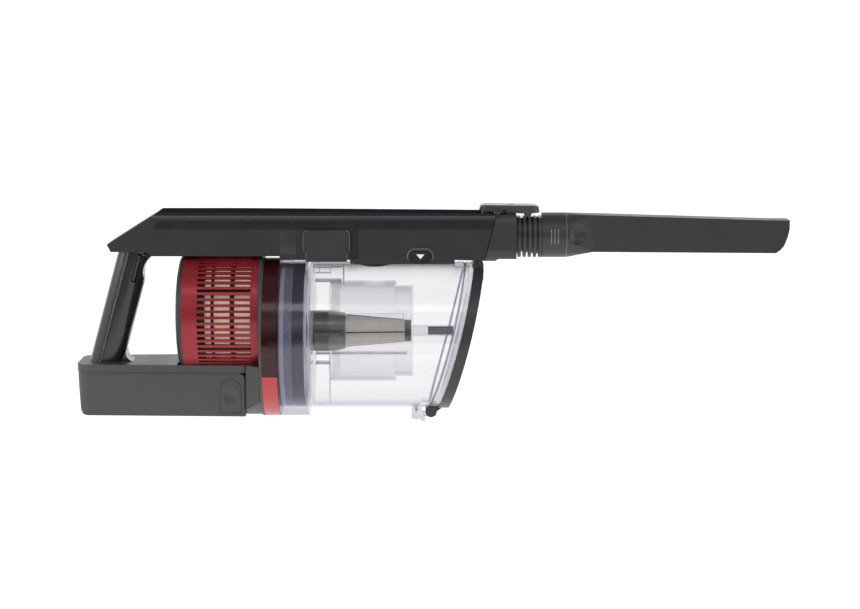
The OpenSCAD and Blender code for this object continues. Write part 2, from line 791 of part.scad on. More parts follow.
module tool_blade_side() {
    z_top = nozzle_z + tool_collar_r;
    z_low = nozzle_z - tool_collar_r;
    z_foot = z_low + 6;
    polygon([
        [taper_x, z_top - 0.3],
        [blade_x, z_top - 1.6],
        [tip_x - 23, z_top - 6.4],
        [tip_x, z_top - 6.6],
        [tip_x, z_top - 15],
        [tip_x - 1.6, z_top - 22],
        [tip_x - 4.6, z_top - 30],
        [tip_x - 8, z_foot + 2],
        [tip_x - 12.4, z_foot - 1.2],
        [blade_x, z_foot],
        [blade_x - 8, z_low + 3.4],
        [taper_x, z_low + 0.2]
    ]);
}

neck_r = 18.6;   // radius of the neck at the tool's collar
scoop_r = 15;    // radius of the finger scoops
scoop_in = 13;   // distance of the scoops from the collar
scoop_out = 27.4;   // distance of the scoops' centres from the middle

module crevice_tool() color([0.27, 0.25, 0.25]) difference() {
    union() {
        rod_x(spigot_r, spigot_x, mouth_x + 1.8, nozzle_z);
        cone_x(spigot_r - 2, neck_r, mouth_x, collar_tool_x + 1, nozzle_z);
        for (i = [0:fin_count - 1])
            rod_x(tool_collar_r, mouth_x + 1.6 + i * fin_pitch, mouth_x + 4.4 + i * fin_pitch, nozzle_z);
        rod_x(tool_collar_r, collar_tool_x, taper_x, nozzle_z);
        rod_x(tool_collar_r - 3, taper_x - 1, taper_x + 1, nozzle_z);
        // scoop from the round collar to the flat blade
        hull() {
            rod_x(tool_collar_r - 0.1, taper_x, taper_x + 0.2, nozzle_z, $fn = 48);
            intersection() {
                along_y(blade_w) tool_blade_side();
                block([blade_x, -40, 0], [blade_x + 1, 40, spine_top_z + 20]);
            }
        }
        intersection() {
            along_y(blade_w) tool_blade_side();
            block([blade_x, -40, 0], [tip_x + 1, 40, spine_top_z + 20]);
        }
    }
    // airway through the tool
    rod_x(airway_r - 1, nozzle_x0, collar_tool_x + 6, nozzle_z);
    hull() {
        rod_x(airway_r - 1.06, collar_tool_x + 4, collar_tool_x + 5, nozzle_z, $fn = 48);
        block([blade_x + 4, 3.1 - blade_w / 2, nozzle_z - 10.9],
            [blade_x + 5, blade_w / 2 - 3.1, nozzle_z + 10.9]);
    }
    block([blade_x + 4, 3 - blade_w / 2, nozzle_z - 11], [tip_x + 10, blade_w / 2 - 3, nozzle_z + 11]);
    // finger scoops beside the blade's root
    for (s = [-1, 1])
        translate([taper_x + scoop_in, s * scoop_out, nozzle_z + 2.6]) sphere(r = scoop_r);
    // flat that clears the lever's nose
    block([mouth_x + 0.5, -lever_w / 2 - 1, spine_top_z - top_fall - 4.4],
        [collar_tool_x, lever_w / 2 + 1, spine_top_z + 10]);
}

// ---- Battery ----

module battery_side() {
    polygon([
        [rear_x + 0.5, battery_z1],
        [rear_x + 3.4, battery_lift + 5],
        [rear_x + 5.4, battery_lift + 1.4],
        [rear_x + 8.8, battery_lift],
        [battery_x1, battery_lift],
        [battery_x1, battery_z1 - 7],
        [battery_x1 - 2, battery_z1 - 2],
        [battery_x1 - 7, battery_z1]
    ]);
}

wall = 1.8;

module battery_outer() {
    intersection() {
        along_y(120) battery_side();
        translate([0, 0, battery_lift]) linear_extrude(height = battery_h) base_plan(0.6);
    }
}

rib_y = 23;   // distance of the button rib from the middle of the battery

module battery_case() color([0.33, 0.32, 0.32]) {
  difference() {
    battery_outer();
    translate([0, 0, battery_lift + wall]) linear_extrude(height = battery_h) intersection() {
        base_plan(0.6 + wall);
        translate([rear_x + 5.6, -60]) square([battery_len - 5.6 - wall - 0.6, 120]);
    }
    block([rear_x - 1, -60, battery_z1 - wall], [battery_x1 + 1, 60, battery_z1 + 1]);
    shroud_clear(shroud_x - cap_depth - 1, battery_x1 + 1);
    side_slice(-60, -28) battery_button_outline(gap);
    // openings for the contacts and the charge plug
    block([battery_x1 - 8, -14, battery_lift + 20], [battery_x1 + 1, 14, battery_lift + 28]);
    rod_x(jack_r + 0.1, rear_x - 1, rear_x + 14, jack_z);
  }
    // rib that the button's spring stands on
    block([bb_x - 6, -rib_y, battery_lift + wall - 0.2], [bb_x + 6, -rib_y + 1.8, battery_lift + 26]);
}

module battery_lid() color([0.33, 0.32, 0.32]) difference() {
    intersection() {
        battery_outer();
        block([rear_x, -60, battery_z1 - wall + 0.05], [battery_x1, 60, battery_z1]);
    }
    shroud_clear(shroud_x - cap_depth - 1, battery_x1 + 1);
}

cell_r = 9.2;
cell_l = 65;
cell_x = rear_x + 15;
jack_r = 4.4;
jack_bore_r = 2.8;
jack_z = battery_lift + 30;

module battery_cells() color([0.15, 0.45, 0.7]) {
    z0 = battery_lift + wall + 0.2 + cell_r;
    for (x = [cell_x, cell_x + cell_l + 2], s = [-1, 1])
        rod_x(cell_r, x, x + cell_l, z0, s * (cell_r + 0.2));
    for (s = [-1, 1])
        rod_x(cell_r, cell_x, cell_x + cell_l, z0 + 2 * cell_r + 0.2, s * (cell_r + 0.2));
}

module battery_board() color([0.1, 0.35, 0.2]) {
    z = battery_lift + wall + 0.2 + 2 * cell_r + 0.2;
    x = cell_x + cell_l + 6;
    block([x, -20, z], [battery_x1 - 13, 20, z + 1.6]);
    block([x + 10, -10, z + 1.6], [x + 22, 6, z + 4.6]);
}

module battery_contacts() color([0.8, 0.65, 0.3]) {
    for (y = [-10, 0, 10]) block([battery_x1 - 12.8, y - 0.6, battery_lift + 21.4],
        [battery_x1 + 6.4, y + 0.6, battery_lift + 26.6]);
}

module charge_jack() color([0.1, 0.1, 0.1]) difference() {
    rod_x(jack_r, rear_x + 2, rear_x + 13.4, jack_z);
    rod_x(jack_bore_r, rear_x, rear_x + 12, jack_z);
}

bb_x = battery_x1 - 14.2;
bb_half = 9.8;

module battery_button_outline(grow = 0) {
    z0 = battery_lift + 3.4;
    z1 = battery_z1 - 5.8;
    r = bb_half + grow;
    translate([bb_x, z1 - bb_half]) circle(r);
    translate([bb_x - r, z0 - grow]) square([2 * r, z1 - bb_half - z0 + grow]);
}

function base_half(x) = base_w_back / 2
    + (base_w_front - base_w_back) / 2 * (x - rear_x - 12) / (foot_x - 2 - rear_x - 12);
bb_y = base_half(bb_x - bb_half) - 0.4;

module battery_button() color([0.35, 0.34, 0.34]) difference() {
    side_slice(-bb_y, -bb_y + 3.6) battery_button_outline();
    translate([bb_x + 0.6, -bb_y - 19, battery_lift + 19]) sphere(r = 20.4);
}

module battery_button_spring() color([0.75, 0.75, 0.77])
    translate([bb_x, -rib_y - 0.1, battery_lift + 19]) rotate([90, 0, 0])
        coil(4, 0.8, 4, bb_y - 3.6 - rib_y - 0.2);

// ---- Dust cup ----

// Flat region behind the door's arc, moved back by d
module behind_arc(d) {
    translate([arc_x, arc_z]) circle(door_bulge_r - d, $fn = 720);
}

module cup_envelope(r, d) {
    intersection() {
        rod_x(r, cup_x0 + 1.5, hinge_x + 20, cup_z);
        along_y(2 * cup_r + 10) behind_arc(d);
    }
}

cup_edge = door_skirt + 0.3;

module cup_body() color([0.8, 0.82, 0.88, 0.35]) difference() {
    union() {
        difference() {
            cup_envelope(cup_r, cup_edge);
            rod_x(cup_r - cup_wall, cup_x0 + 1.5 + cup_wall, hinge_x + 30, cup_z);
        }
        // thickened rim behind the door
        difference() {
            cup_envelope(cup_r, cup_edge);
            rod_x(cup_r - 2 * cup_wall, cup_x0, hinge_x + 30, cup_z);
            along_y(2 * cup_r + 20) behind_arc(cup_edge + 8);
        }
        // hinge cheeks
        for (s = [-1, 1]) translate([0, s * 22, 0]) {
            rod_y(3.2, hinge_x, hinge_z, 4);
            along_y(4) polygon([[hinge_x - 24, hinge_z - 4], [hinge_x - 15.5, hinge_z - 4],
                [hinge_x - 13.5, hinge_z - 1], [hinge_x, hinge_z - 1], [hinge_x, hinge_z + 3.2],
                [hinge_x - 20, hinge_z + 3.2], [hinge_x - 24, hinge_z]]);
        }
        // latch ears
        for (s = [-1, 1]) translate([0, s * 13, 0]) {
            rod_y(2.8, latch_x, latch_z, 3);
            along_y(3) polygon([[latch_x - 5, cup_z - cup_r + 2.8], [latch_x - 5, cup_z - cup_r + 1],
                [latch_x - 2.7, latch_z], [latch_x + 2.7, latch_z], [latch_x + 2.7, cup_z - cup_r + 2.8]]);
        }
    }
    // way in for air and dust
    translate([inlet_x, 0, cup_z]) cylinder(r = airway_r, h = cup_r + 5);
    // way out through the hub
    rod_x(hub_r - 6, cup_x0, cup_x0 + 10, cyclone_z);
    rod_y(1.5, hinge_x, hinge_z, 60);
    rod_y(1.4, latch_x, latch_z, 60);
}

module cup_collar() color([0.8, 0.8, 0.86, 0.4]) difference() {
    rod_x(collar_r, collar_x0, collar_x0 + collar_len - 0.2, collar_z);
    rod_x(cup_r - 0.6, collar_x0 - 1, cup_x0 - 3, cup_z);
    rod_x(cup_r - 8, collar_x0 - 1, cup_x0 + 3, cup_z);
    block([collar_x0 + 11.6, -60, spine_mid_z - 3.4], [cup_x0 + 1, 60, spine_top_z]);
}

module filter_holder() color([0.2, 0.18, 0.25]) difference() {
    rod_x(cup_r - 1, collar_x0 + 13, cup_x0 - 3.3, cup_z);
    rod_x(cup_r - 4, collar_x0 + 12, cup_x0 - 6, cup_z);
    rod_x(hub_r - 4, collar_x0 + 12, cup_x0, cyclone_z);
}

module foam_filter() color([0.45, 0.43, 0.5])
    rod_x(cup_r - 2, collar_x0 + 5.2, collar_x0 + 12.8, cup_z);

module felt_filter() color([0.85, 0.84, 0.84])
    rod_x(cup_r - 2, collar_x0 + 1, collar_x0 + 5, cup_z);

hub_x = cup_x0 + 1.5 + cup_wall;
cone_x0 = hub_x + hub_len;
cone_x1 = cone_x0 + cone_len;
end_x = cone_x1 + 6;

module cyclone_tube() color([0.8, 0.82, 0.88, 0.35]) difference() {
    union() {
        rod_x(cyclone_r, hub_x + 16, cone_x1 - 8, cyclone_z);
        rod_x(cyclone_r - 4.6, cone_x1 - 8.2, end_x + 2, cyclone_z);
    }
    rod_x(cyclone_r - 1.6, hub_x + 15, cone_x1 - 9.6, cyclone_z);
    rod_x(cyclone_r - 6.2, cone_x1 - 12, end_x + 0.4, cyclone_z);
    // way in from the cup, between the tube and the hub's flange
    translate([inlet_x, 0, cyclone_z]) cylinder(r = airway_r - 2, h = cyclone_r + 5);
    rod_x(axis_tube_r - 1.2, end_x - 1, end_x + 4, cyclone_z);
}

module cyclone_hub() color([0.12, 0.12, 0.2]) difference() {
    union() {
        rod_x(hub_r, hub_x, hub_x + 20, cyclone_z);
        cone_x(hub_r, hub_r - 2.4, hub_x + 20, cone_x0 - 0.1, cyclone_z);
        for (a = [0:60:300]) translate([hub_x + 16.6, 0, cyclone_z]) rotate([a, 0, 0])
            translate([0, hub_r - 1, -1]) cube([8, cyclone_r - 1.8 - hub_r + 1, 2]);
    }
    rod_x(cone_r - 3, hub_x - 1, cone_x0 + 1, cyclone_z);
}

module mesh_cone() color([0.6, 0.6, 0.62]) difference() {
    cone_x(cone_r, cone_tip_r, cone_x0, cone_x1, cyclone_z);
    cone_x(cone_r - 1.4, cone_tip_r - 1.4, cone_x0 - 0.01, cone_x1 + 0.01, cyclone_z);
}

module mesh_cap() color([0.12, 0.12, 0.14]) {
    rod_x(cone_tip_r - 0.2, cone_x1 + 0.1, end_x + 0.2, cyclone_z);
}

// The tube ends short of the door's face at its own height
axis_end_x = arc_x + sqrt(pow(door_bulge_r, 2) - pow(cyclone_z - arc_z, 2)) - 5.9;

module axis_tube() color([0.8, 0.82, 0.88, 0.35]) difference() {
    rod_x(axis_tube_r, end_x + 2.1, axis_end_x, cyclone_z);
    rod_x(axis_tube_r - 1.2, end_x + 1, axis_end_x + 3, cyclone_z);
}

module axis_plug() color([0.3, 0.25, 0.4])
    rod_x(axis_tube_r - 1.4, axis_end_x - 24.2, axis_end_x, cyclone_z);

module door_pin() color([0.7, 0.7, 0.72]) rod_y(1.5, hinge_x, hinge_z, 48);

// ---- Door ----

// Foot of the door, where its catch is
knob_z = cup_z - cup_r - 3.6;
foot_depth = hinge_z - knob_z;
knob_x = hinge_x - 44.2 - (foot_depth - 140.6) * tan(door_tilt + 4);
bar_r = 2.2;

module door_band(d0, d1) {
    difference() {
        behind_arc(d0);
        behind_arc(d1);
    }
}

// Space that the pane and its seal take up behind the frame
module pane_space() {
    intersection() {
        rod_x(cup_r + 0.1, cup_x0, hinge_x + 20, cup_z);
        along_y(2 * cup_r + 10) behind_arc(-0.05);
    }
}

module door_frame() color([0.1, 0.1, 0.11]) difference() {
    union() {
        intersection() {
            tube_x(cup_r + 0.8, cup_r - 6, cup_x0, hinge_x + 20, cup_z);
            along_y(2 * cup_r + 10) door_band(-door_frame_t, 0);
            block([cup_x0, -100, 0], [hinge_x + 20, 100, hinge_z - 3.7]);
        }
        rod_y(knuckle_r, hinge_x, hinge_z, 38);
        difference() {
            union() {
                along_y(38) polygon([[hinge_x - 4, hinge_z - 14], [hinge_x + 5, hinge_z - 14],
                    [hinge_x + knuckle_r, hinge_z], [hinge_x - knuckle_r, hinge_z]]);
                // catch knobs and the bar between them
                for (s = [-1, 1]) translate([0, s * 9, 0]) {
                    rod_y(knob_r, knob_x, knob_z, 6);
                    along_y(6) polygon([[knob_x - 2, knob_z], [knob_x + knob_r, knob_z],
                        [knob_x + 13, knob_z + 6], [knob_x + 14, knob_z + 14],
                        [knob_x + 2, knob_z + 10]]);
                }
            }
            pane_space();
        }
        rod_y(bar_r, knob_x, knob_z, 14);
    }
    rod_y(1.5 + fit, hinge_x, hinge_z, 60);
}

module door_pane() color([0.85, 0.86, 0.9, 0.35]) difference() {
    union() {
        pane_disc();
        pane_skirt();
    }
    rod_y(knuckle_r + 0.1, hinge_x, hinge_z, 38.4);
}

module pane_disc() {
    intersection() {
        rod_x(cup_r - 0.6, cup_x0, hinge_x + 20, cup_z);
        along_y(2 * cup_r + 10) door_band(0.1, 3);
    }
}

module pane_skirt() {
    intersection() {
        tube_x(cup_r - 0.6, cup_r - 3.4, cup_x0, hinge_x + 20, cup_z);
        along_y(2 * cup_r + 10) door_band(2.9, door_skirt - 2.2);
    }
}

module door_seal() color([0.12, 0.12, 0.12]) intersection() {
    tube_x(cup_r - 0.8, cup_r - 3.2, cup_x0, hinge_x + 20, cup_z);
    along_y(2 * cup_r + 10) door_band(door_skirt - 2.1, door_skirt - 0.1);
}

// ---- Cup latch ----

latch_x = knob_x - 14;
latch_z = cup_z - cup_r - 3.2;

module cup_latch() color([0.85, 0.86, 0.9, 0.4]) difference() {
    union() {
        rod_y(2.8, latch_x, latch_z, 22);
        // ridged finger tab
        along_y(22) polygon([[latch_x - 4, latch_z], [latch_x + 3, latch_z], [latch_x + 3.4, 3],
            [latch_x + 1, 1.4], [latch_x - 1.6, 1.6], [latch_x - 3.4, 3]]);
        for (z = [3.4, 5.6, 7.8]) along_y(22) translate([latch_x - 3.6, z]) circle(0.9, $fn = 24);
        // toe, the lowest point of the cup
        along_y(22) polygon([[latch_x + 2, latch_z], [latch_x + 3.6, 1.6], [latch_x + 6.4, 0],
            [latch_x + 8.4, 0], [latch_x + 8.6, 1.6], [latch_x + 6.4, 4], [latch_x + 5, latch_z]]);
        // hook under the bar
        along_y(10) polygon([[latch_x, latch_z - 2.6], [latch_x + 8, knob_z - bar_r - 3.4],
            [knob_x + 5, knob_z - bar_r - 3.2], [knob_x + 5.2, knob_z + 1],
            [knob_x + bar_r + 0.4, knob_z + 1], [knob_x + bar_r + 0.4, knob_z - bar_r - 0.4],
            [latch_x + 8, knob_z - bar_r - 0.4], [latch_x + 2, latch_z + 1.4]]);
    }
    rod_y(1.4 + fit, latch_x, latch_z, 60);
}

module latch_pin() color([0.7, 0.7, 0.72]) rod_y(1.4, latch_x, latch_z, 29);

spine_body();
top_cover();
nozzle_body();
saddle_brackets();
airway_duct();
inlet_seal();
grip_front();
grip_back();
base_housing();
motor_frame();
motor_end_cap();
vent_shroud();
filter_frame();
filter_media();
ring_band();
ring_window();
motor_can();
motor_mounts();
bearings();
control_board();
power_switch();
base_terminal();
screws();
trigger_pin();
lever_pin();
trigger();
trigger_spring();
cup_button();
cup_button_spring();
tool_lever();
lever_spring();
motor_shaft();
impeller();
armature();
crevice_tool();
battery_case();
battery_lid();
battery_cells();
battery_board();
battery_contacts();
charge_jack();
battery_button();
battery_button_spring();
cup_body();
cup_collar();
filter_holder();
foam_filter();
felt_filter();
cyclone_tube();
cyclone_hub();
mesh_cone();
mesh_cap();
axis_tube();
axis_plug();
door_pin();
door_frame();
door_pane();
door_seal();
cup_latch();
latch_pin();
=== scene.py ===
"""Looks of a cordless handheld vacuum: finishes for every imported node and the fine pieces
that the solids leave out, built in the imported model's own frame."""

import json
import math

import bmesh
import bpy
from bpy.props import FloatProperty, FloatVectorProperty, IntProperty, PointerProperty
from mathutils import Matrix, Vector


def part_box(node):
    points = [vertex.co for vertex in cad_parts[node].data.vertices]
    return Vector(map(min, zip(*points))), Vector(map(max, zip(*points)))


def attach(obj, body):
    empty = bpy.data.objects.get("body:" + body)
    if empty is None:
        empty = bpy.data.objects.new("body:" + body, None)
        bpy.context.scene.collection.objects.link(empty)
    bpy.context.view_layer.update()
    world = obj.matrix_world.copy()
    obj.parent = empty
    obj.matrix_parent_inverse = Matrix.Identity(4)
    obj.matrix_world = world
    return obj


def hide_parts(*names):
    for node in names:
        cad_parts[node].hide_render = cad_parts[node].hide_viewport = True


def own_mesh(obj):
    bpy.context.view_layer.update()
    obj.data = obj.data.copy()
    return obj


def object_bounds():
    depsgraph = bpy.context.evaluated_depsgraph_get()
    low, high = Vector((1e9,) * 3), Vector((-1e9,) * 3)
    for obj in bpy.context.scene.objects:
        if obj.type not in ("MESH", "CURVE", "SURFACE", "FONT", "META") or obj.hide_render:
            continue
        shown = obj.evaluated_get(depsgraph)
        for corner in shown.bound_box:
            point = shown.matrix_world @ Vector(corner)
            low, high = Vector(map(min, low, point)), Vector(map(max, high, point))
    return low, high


bl_info = {
    "name": "Handheld vacuum looks",
    "version": (1, 0, 0),
    "blender": (4, 5, 0),
    "location": "View3D > Sidebar > Vacuum",
    "description": "Finishes and fine pieces of a cordless handheld vacuum",
    "category": "Object",
}

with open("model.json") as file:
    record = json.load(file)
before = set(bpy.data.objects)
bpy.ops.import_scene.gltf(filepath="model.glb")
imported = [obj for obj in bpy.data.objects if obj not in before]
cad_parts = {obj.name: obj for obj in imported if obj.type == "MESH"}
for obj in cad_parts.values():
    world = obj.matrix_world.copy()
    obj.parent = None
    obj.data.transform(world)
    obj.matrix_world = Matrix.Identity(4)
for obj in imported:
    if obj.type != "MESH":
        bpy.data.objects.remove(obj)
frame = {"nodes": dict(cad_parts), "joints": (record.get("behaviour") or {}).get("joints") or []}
bpy.context.view_layer.update()
CAD_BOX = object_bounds()
MM = 0.001


def mid_height(node):
    """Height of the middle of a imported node"""
    low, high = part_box(node)
    return (low.z + high.z) / 2


def half_height(node):
    """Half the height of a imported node, the radius of a round one"""
    low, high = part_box(node)
    return (high.z - low.z) / 2


CYCLONE_AXIS = mid_height("mesh_cone")
MOTOR_AXIS = mid_height("vent_shroud")
TOOL_AXIS = mid_height("crevice_tool")


# ---- Sizes and colours a user can change ----


def colour(name, about, value):
    return FloatVectorProperty(
        name=name, description=about, default=value, size=3, subtype="COLOR", min=0, max=1
    )


def length(name, about, value, low=0.0, high=10.0):
    return FloatProperty(
        name=name, description=about, default=value, min=low, max=high,
        subtype="DISTANCE", unit="LENGTH", precision=5,
    )


class VacuumColours(bpy.types.PropertyGroup):
    """Base colours of the vacuum's plastics and fabrics"""

    shell: colour("Shell", "Matte charcoal of the spine and the grip", (0.021, 0.0185, 0.019))
    gloss: colour("Gloss cover", "Gloss black of the top cover", (0.018, 0.016, 0.0195))
    satin: colour(
        "Satin shell", "Satin charcoal of the nozzle and brackets", (0.03, 0.027, 0.0265)
    )
    base: colour("Base", "Warm grey of the base and the battery", (0.058, 0.051, 0.0535))
    tool: colour("Tool", "Brown-grey of the crevice tool", (0.03, 0.0265, 0.027))
    lever: colour("Lever", "Grey of the release lever", (0.056, 0.053, 0.052))
    red: colour("Shroud", "Deep red of the vent shroud", (0.29, 0.018, 0.026))
    band: colour("Band", "Lighter red of the ring band", (0.45, 0.042, 0.048))
    window: colour("Ring window", "Smoked red of the ring window", (0.035, 0.003, 0.004))
    clear: colour("Clear cup", "Tint of the clear cup", (0.968, 0.966, 0.97))
    rim: colour("Clear edges", "Colour that clear walls show edge on", (0.4, 0.39, 0.56))
    smoke: colour("Collar", "Tint of the smoked collar", (0.8, 0.79, 0.85))
    navy: colour("Hub", "Blue-black of the cyclone's hub", (0.008, 0.008, 0.019))
    plum: colour("Plug", "Plum of the axis plug and filter holder", (0.045, 0.038, 0.085))
    paper: colour("Filter paper", "Beige of the pleated filter", (0.95, 0.84, 0.72))


class VacuumSizes(bpy.types.PropertyGroup):
    """Sizes of the fine pieces"""

    edge: length("Edge rounding", "Radius of the shells' moulded edges", 0.0006, 0, 0.002)
    pleats: IntProperty(
        name="Pleats", description="Pleats round the motor filter", default=84, min=24, max=160
    )
    pleat_depth: length("Pleat depth", "Depth of each pleat", 0.0075, 0.002, 0.012)
    warp: IntProperty(
        name="Warp wires", description="Wires along the mesh cone", default=72, min=24, max=120
    )
    weft: IntProperty(
        name="Weft wires", description="Wires round the mesh cone", default=52, min=20, max=100
    )
    wire: length("Wire", "Thickness of the mesh cone's wire", 0.00034, 0.0001, 0.001)
    rib: length("Rib thickness", "Thickness of the cup's inner ribs", 0.0014, 0.0005, 0.003)


def power(name, about, value):
    return FloatProperty(
        name=name, description=about, default=value, min=0, subtype="POWER", unit="POWER"
    )


class VacuumStage(bpy.types.PropertyGroup):
    """Camera, floor and lights"""

    distance: length("Camera distance", "Distance from the camera to its aim", 2.27, 0.5, 9)
    elevation: FloatProperty(
        name="Elevation", description="Height of the camera as an angle",
        default=math.radians(7.5), subtype="ANGLE", unit="ROTATION",
    )
    lens: FloatProperty(
        name="Lens", description="Focal length", default=100.0, min=20, max=200, unit="CAMERA"
    )
    key: power("Key light", "Power of the front softbox", 8.0)
    grip: power("Grip light", "Power of the upright strip beside the grip", 3.0)
    strip: power("Strip light", "Power of the strip above the camera", 5.0)
    sides: power("Side lights", "Power of the side softboxes", 8.0)
    sky: FloatProperty(
        name="Sky", description="Strength of the surrounding light", default=0.85, min=0, max=5
    )


# ---- Finishes ----


class Bench:
    """Node tree of one finish, with short calls that add and join nodes"""

    def __init__(self, name):
        self.material = bpy.data.materials.new(name)
        self.material.use_nodes = True
        self.tree = self.material.node_tree
        self.tree.nodes.clear()
        self.out = self.node("OutputMaterial")
        self.place = self.node("TexCoord").outputs["Object"]

    def node(self, kind, settings=None, **sockets):
        made = self.tree.nodes.new("ShaderNode" + kind)
        for key, value in (settings or {}).items():
            setattr(made, key, value)
        for key, value in sockets.items():
            self.put(value, made.inputs[key.replace("_", " ")])
        return made

    def join(self, a, b):
        self.tree.links.new(a, b)

    def put(self, value, socket):
        """Joins a socket to another, or sets its number or colour"""
        if isinstance(value, bpy.types.NodeSocket):
            self.join(value, socket)
        else:
            socket.default_value = value

    def noise(self, scale, detail=2.0, place=None):
        """Cloudy noise, from 0 to 1"""
        made = self.node("TexNoise", Vector=place or self.place, Scale=scale, Detail=detail)
        return made.outputs["Fac"]

    def spread(self, value, low, high, start=0.3, end=0.7):
        """Maps a noise value to a range"""
        made = self.node("MapRange", {"clamp": True})
        for index, number in ((1, start), (2, end), (3, low), (4, high)):
            made.inputs[index].default_value = number
        self.join(value, made.inputs[0])
        return made.outputs[0]

    def blend(self, fac, a, b):
        """Mixes two colours"""
        made = self.node("Mix", {"data_type": "RGBA"})
        for index, value in ((0, fac), (6, a), (7, b)):
            self.put(value, made.inputs[index])
        return made.outputs[2]

    def combine(self, a, b, operation="MULTIPLY"):
        """Works out one number from two, as their product unless told otherwise"""
        made = self.node("Math", {"operation": operation})
        for index, value in ((0, a), (1, b)):
            self.put(value, made.inputs[index])
        return made.outputs[0]

    def bump(self, height, strength, distance, normal=None):
        made = self.node("Bump", Height=height, Strength=strength, Distance=distance)
        if normal is not None:
            self.join(normal, made.inputs["Normal"])
        return made.outputs["Normal"]

    def layer(self, fac, under, over):
        """Mixes two shaders"""
        made = self.node("MixShader", Fac=fac)
        self.join(under.outputs[0], made.inputs[1])
        self.join(over.outputs[0], made.inputs[2])
        return made

    def wrap(self, shader):
        """Ends the tree with a shader and gives the finished material"""
        self.join(shader.outputs[0], self.out.inputs["Surface"])
        return self.material


def rgba(tone, gain=1.0):
    """A colour with its alpha, lighter or darker by a gain"""
    return (*(min(part * gain, 1) for part in tone), 1)


def moulded(
    name, tone, rough=0.4, grain=0.25, edge=0.0006, coat=0.0, metal=0.0, edge_wear_and_highlight=0.35,
    flat_top=False,
):
    """Moulded plastic: fine spark grain, faint clouds of tone, and edges lightened, partly as
    rubbing and partly as a painted highlight.
    A flat top has a dull textured upper face."""
    b = Bench(name)
    cloud = b.noise(16, 3)
    rub_and_sheen_noise = b.noise(140, 4)
    round_edge = b.node("Bevel", {"samples": 4}, Radius=edge).outputs["Normal"]
    facing = b.node("NewGeometry").outputs["Normal"]
    dot = b.node("VectorMath", {"operation": "DOT_PRODUCT"})
    b.join(round_edge, dot.inputs[0])
    b.join(facing, dot.inputs[1])
    at_edges = b.spread(dot.outputs["Value"], 1, 0, 0.86, 0.995)
    # Painted highlight and rubbing: the rounded edges are lightened towards a paler tone, partly
    # for rubbed plastic and partly for the highlight that edges catch.
    wear_and_highlight_mask = b.combine(at_edges, b.spread(rub_and_sheen_noise, 0.25 * edge_wear_and_highlight, edge_wear_and_highlight))
    plain = b.blend(cloud, rgba(tone, 0.86), rgba(tone, 1.14))
    wear_and_highlight_tone = rgba([c * 1.7 + 0.012 for c in tone])
    shade = b.blend(wear_and_highlight_mask, plain, wear_and_highlight_tone)
    normal = b.bump(b.noise(2600, 2), grain, 0.00006, round_edge)
    skin = b.node(
        "BsdfPrincipled", Base_Color=shade,
        Roughness=b.spread(b.noise(55, 4), rough - 0.04, rough + 0.05), Normal=normal,
    )
    skin.inputs["Metallic"].default_value = metal
    skin.inputs["Coat Weight"].default_value = coat
    skin.inputs["Coat Roughness"].default_value = 0.06
    if flat_top:
        upward = b.node("SeparateXYZ", Vector=facing).outputs["Z"]
        b.join(b.spread(upward, 0.5, 0.0, 0.45, 0.9), skin.inputs["Specular IOR Level"])
        b.join(b.spread(upward, coat, 0.0, 0.45, 0.9), skin.inputs["Coat Weight"])
    return b.wrap(skin)


def clear_plastic(
    name, tint, rim, haze=0.03, edge_strength=0.6, gloss=0.05, face=(0.8, 0.79, 0.8)
):
    """Clear plastic as a wall seen through: tinted, darker edge on, with a gloss of its own"""
    b = Bench(name)
    facing = b.node("LayerWeight", Blend=0.5).outputs["Facing"]
    slant = b.combine(facing, 4.0, "POWER")
    scuff = b.spread(b.noise(70, 5), 0.0, haze * 0.6)
    body = b.combine(b.spread(slant, haze, edge_strength, 0.0, 1.0), scuff, "ADD")
    through = b.node("BsdfTransparent", Color=b.blend(b.noise(20), rgba(tint), rgba(tint, 0.985)))
    edge_on = b.spread(slant, 0, 1, 0.0, 0.25)
    solid = b.node("BsdfDiffuse", Color=b.blend(edge_on, rgba(face), rgba(rim)))
    shine = b.node(
        "BsdfGlossy", Color=(1, 1, 1, 1),
        Roughness=b.spread(b.noise(90, 4), gloss * 0.7, gloss * 1.6),
    )
    mirror = b.spread(b.combine(facing, 5.0, "POWER"), 0.035, 0.75, 0.0, 1.0)
    return b.wrap(b.layer(mirror, b.layer(body, through, solid), shine))


def metal(name, tone, rough=0.3, brush=400.0):
    """Bright or brushed metal with fine lines along it"""
    b = Bench(name)
    lines = b.node("Mapping", Vector=b.place)
    lines.inputs["Scale"].default_value = (0.06, 1, 1)
    streak = b.noise(brush, 4, lines.outputs[0])
    skin = b.node(
        "BsdfPrincipled", Base_Color=b.blend(streak, rgba(tone, 0.85), rgba(tone, 1.05)),
        Roughness=b.spread(streak, rough * 0.75, rough * 1.3), Normal=b.bump(streak, 0.12, 0.00003),
    )
    skin.inputs["Metallic"].default_value = 1.0
    return b.wrap(skin)


def rubber(name, tone):
    """Dull rubber with a fine pebbled skin"""
    b = Bench(name)
    grain = b.noise(900, 4)
    skin = b.node(
        "BsdfPrincipled", Base_Color=b.blend(b.noise(24), rgba(tone, 0.8), rgba(tone, 1.3)),
        Roughness=b.spread(grain, 0.62, 0.82), Normal=b.bump(grain, 0.3, 0.0001),
    )
    return b.wrap(skin)


def foam(name, tone):
    """Open-cell foam: small pores darkened with painted shade, in a soft matte body"""
    b = Bench(name)
    cells = b.node("TexVoronoi", Vector=b.place, Scale=900.0).outputs["Distance"]
    # Painted shade: the foam's pores are darkened, as the shade inside them.
    skin = b.node(
        "BsdfPrincipled",
        Base_Color=b.blend(b.spread(cells, 0, 1, 0.15, 0.55), rgba(tone, 1.15), rgba(tone, 0.45)),
        Roughness=0.95, Normal=b.bump(cells, 0.6, 0.0004),
    )
    skin.inputs["Sheen Weight"].default_value = 0.3
    return b.wrap(skin)


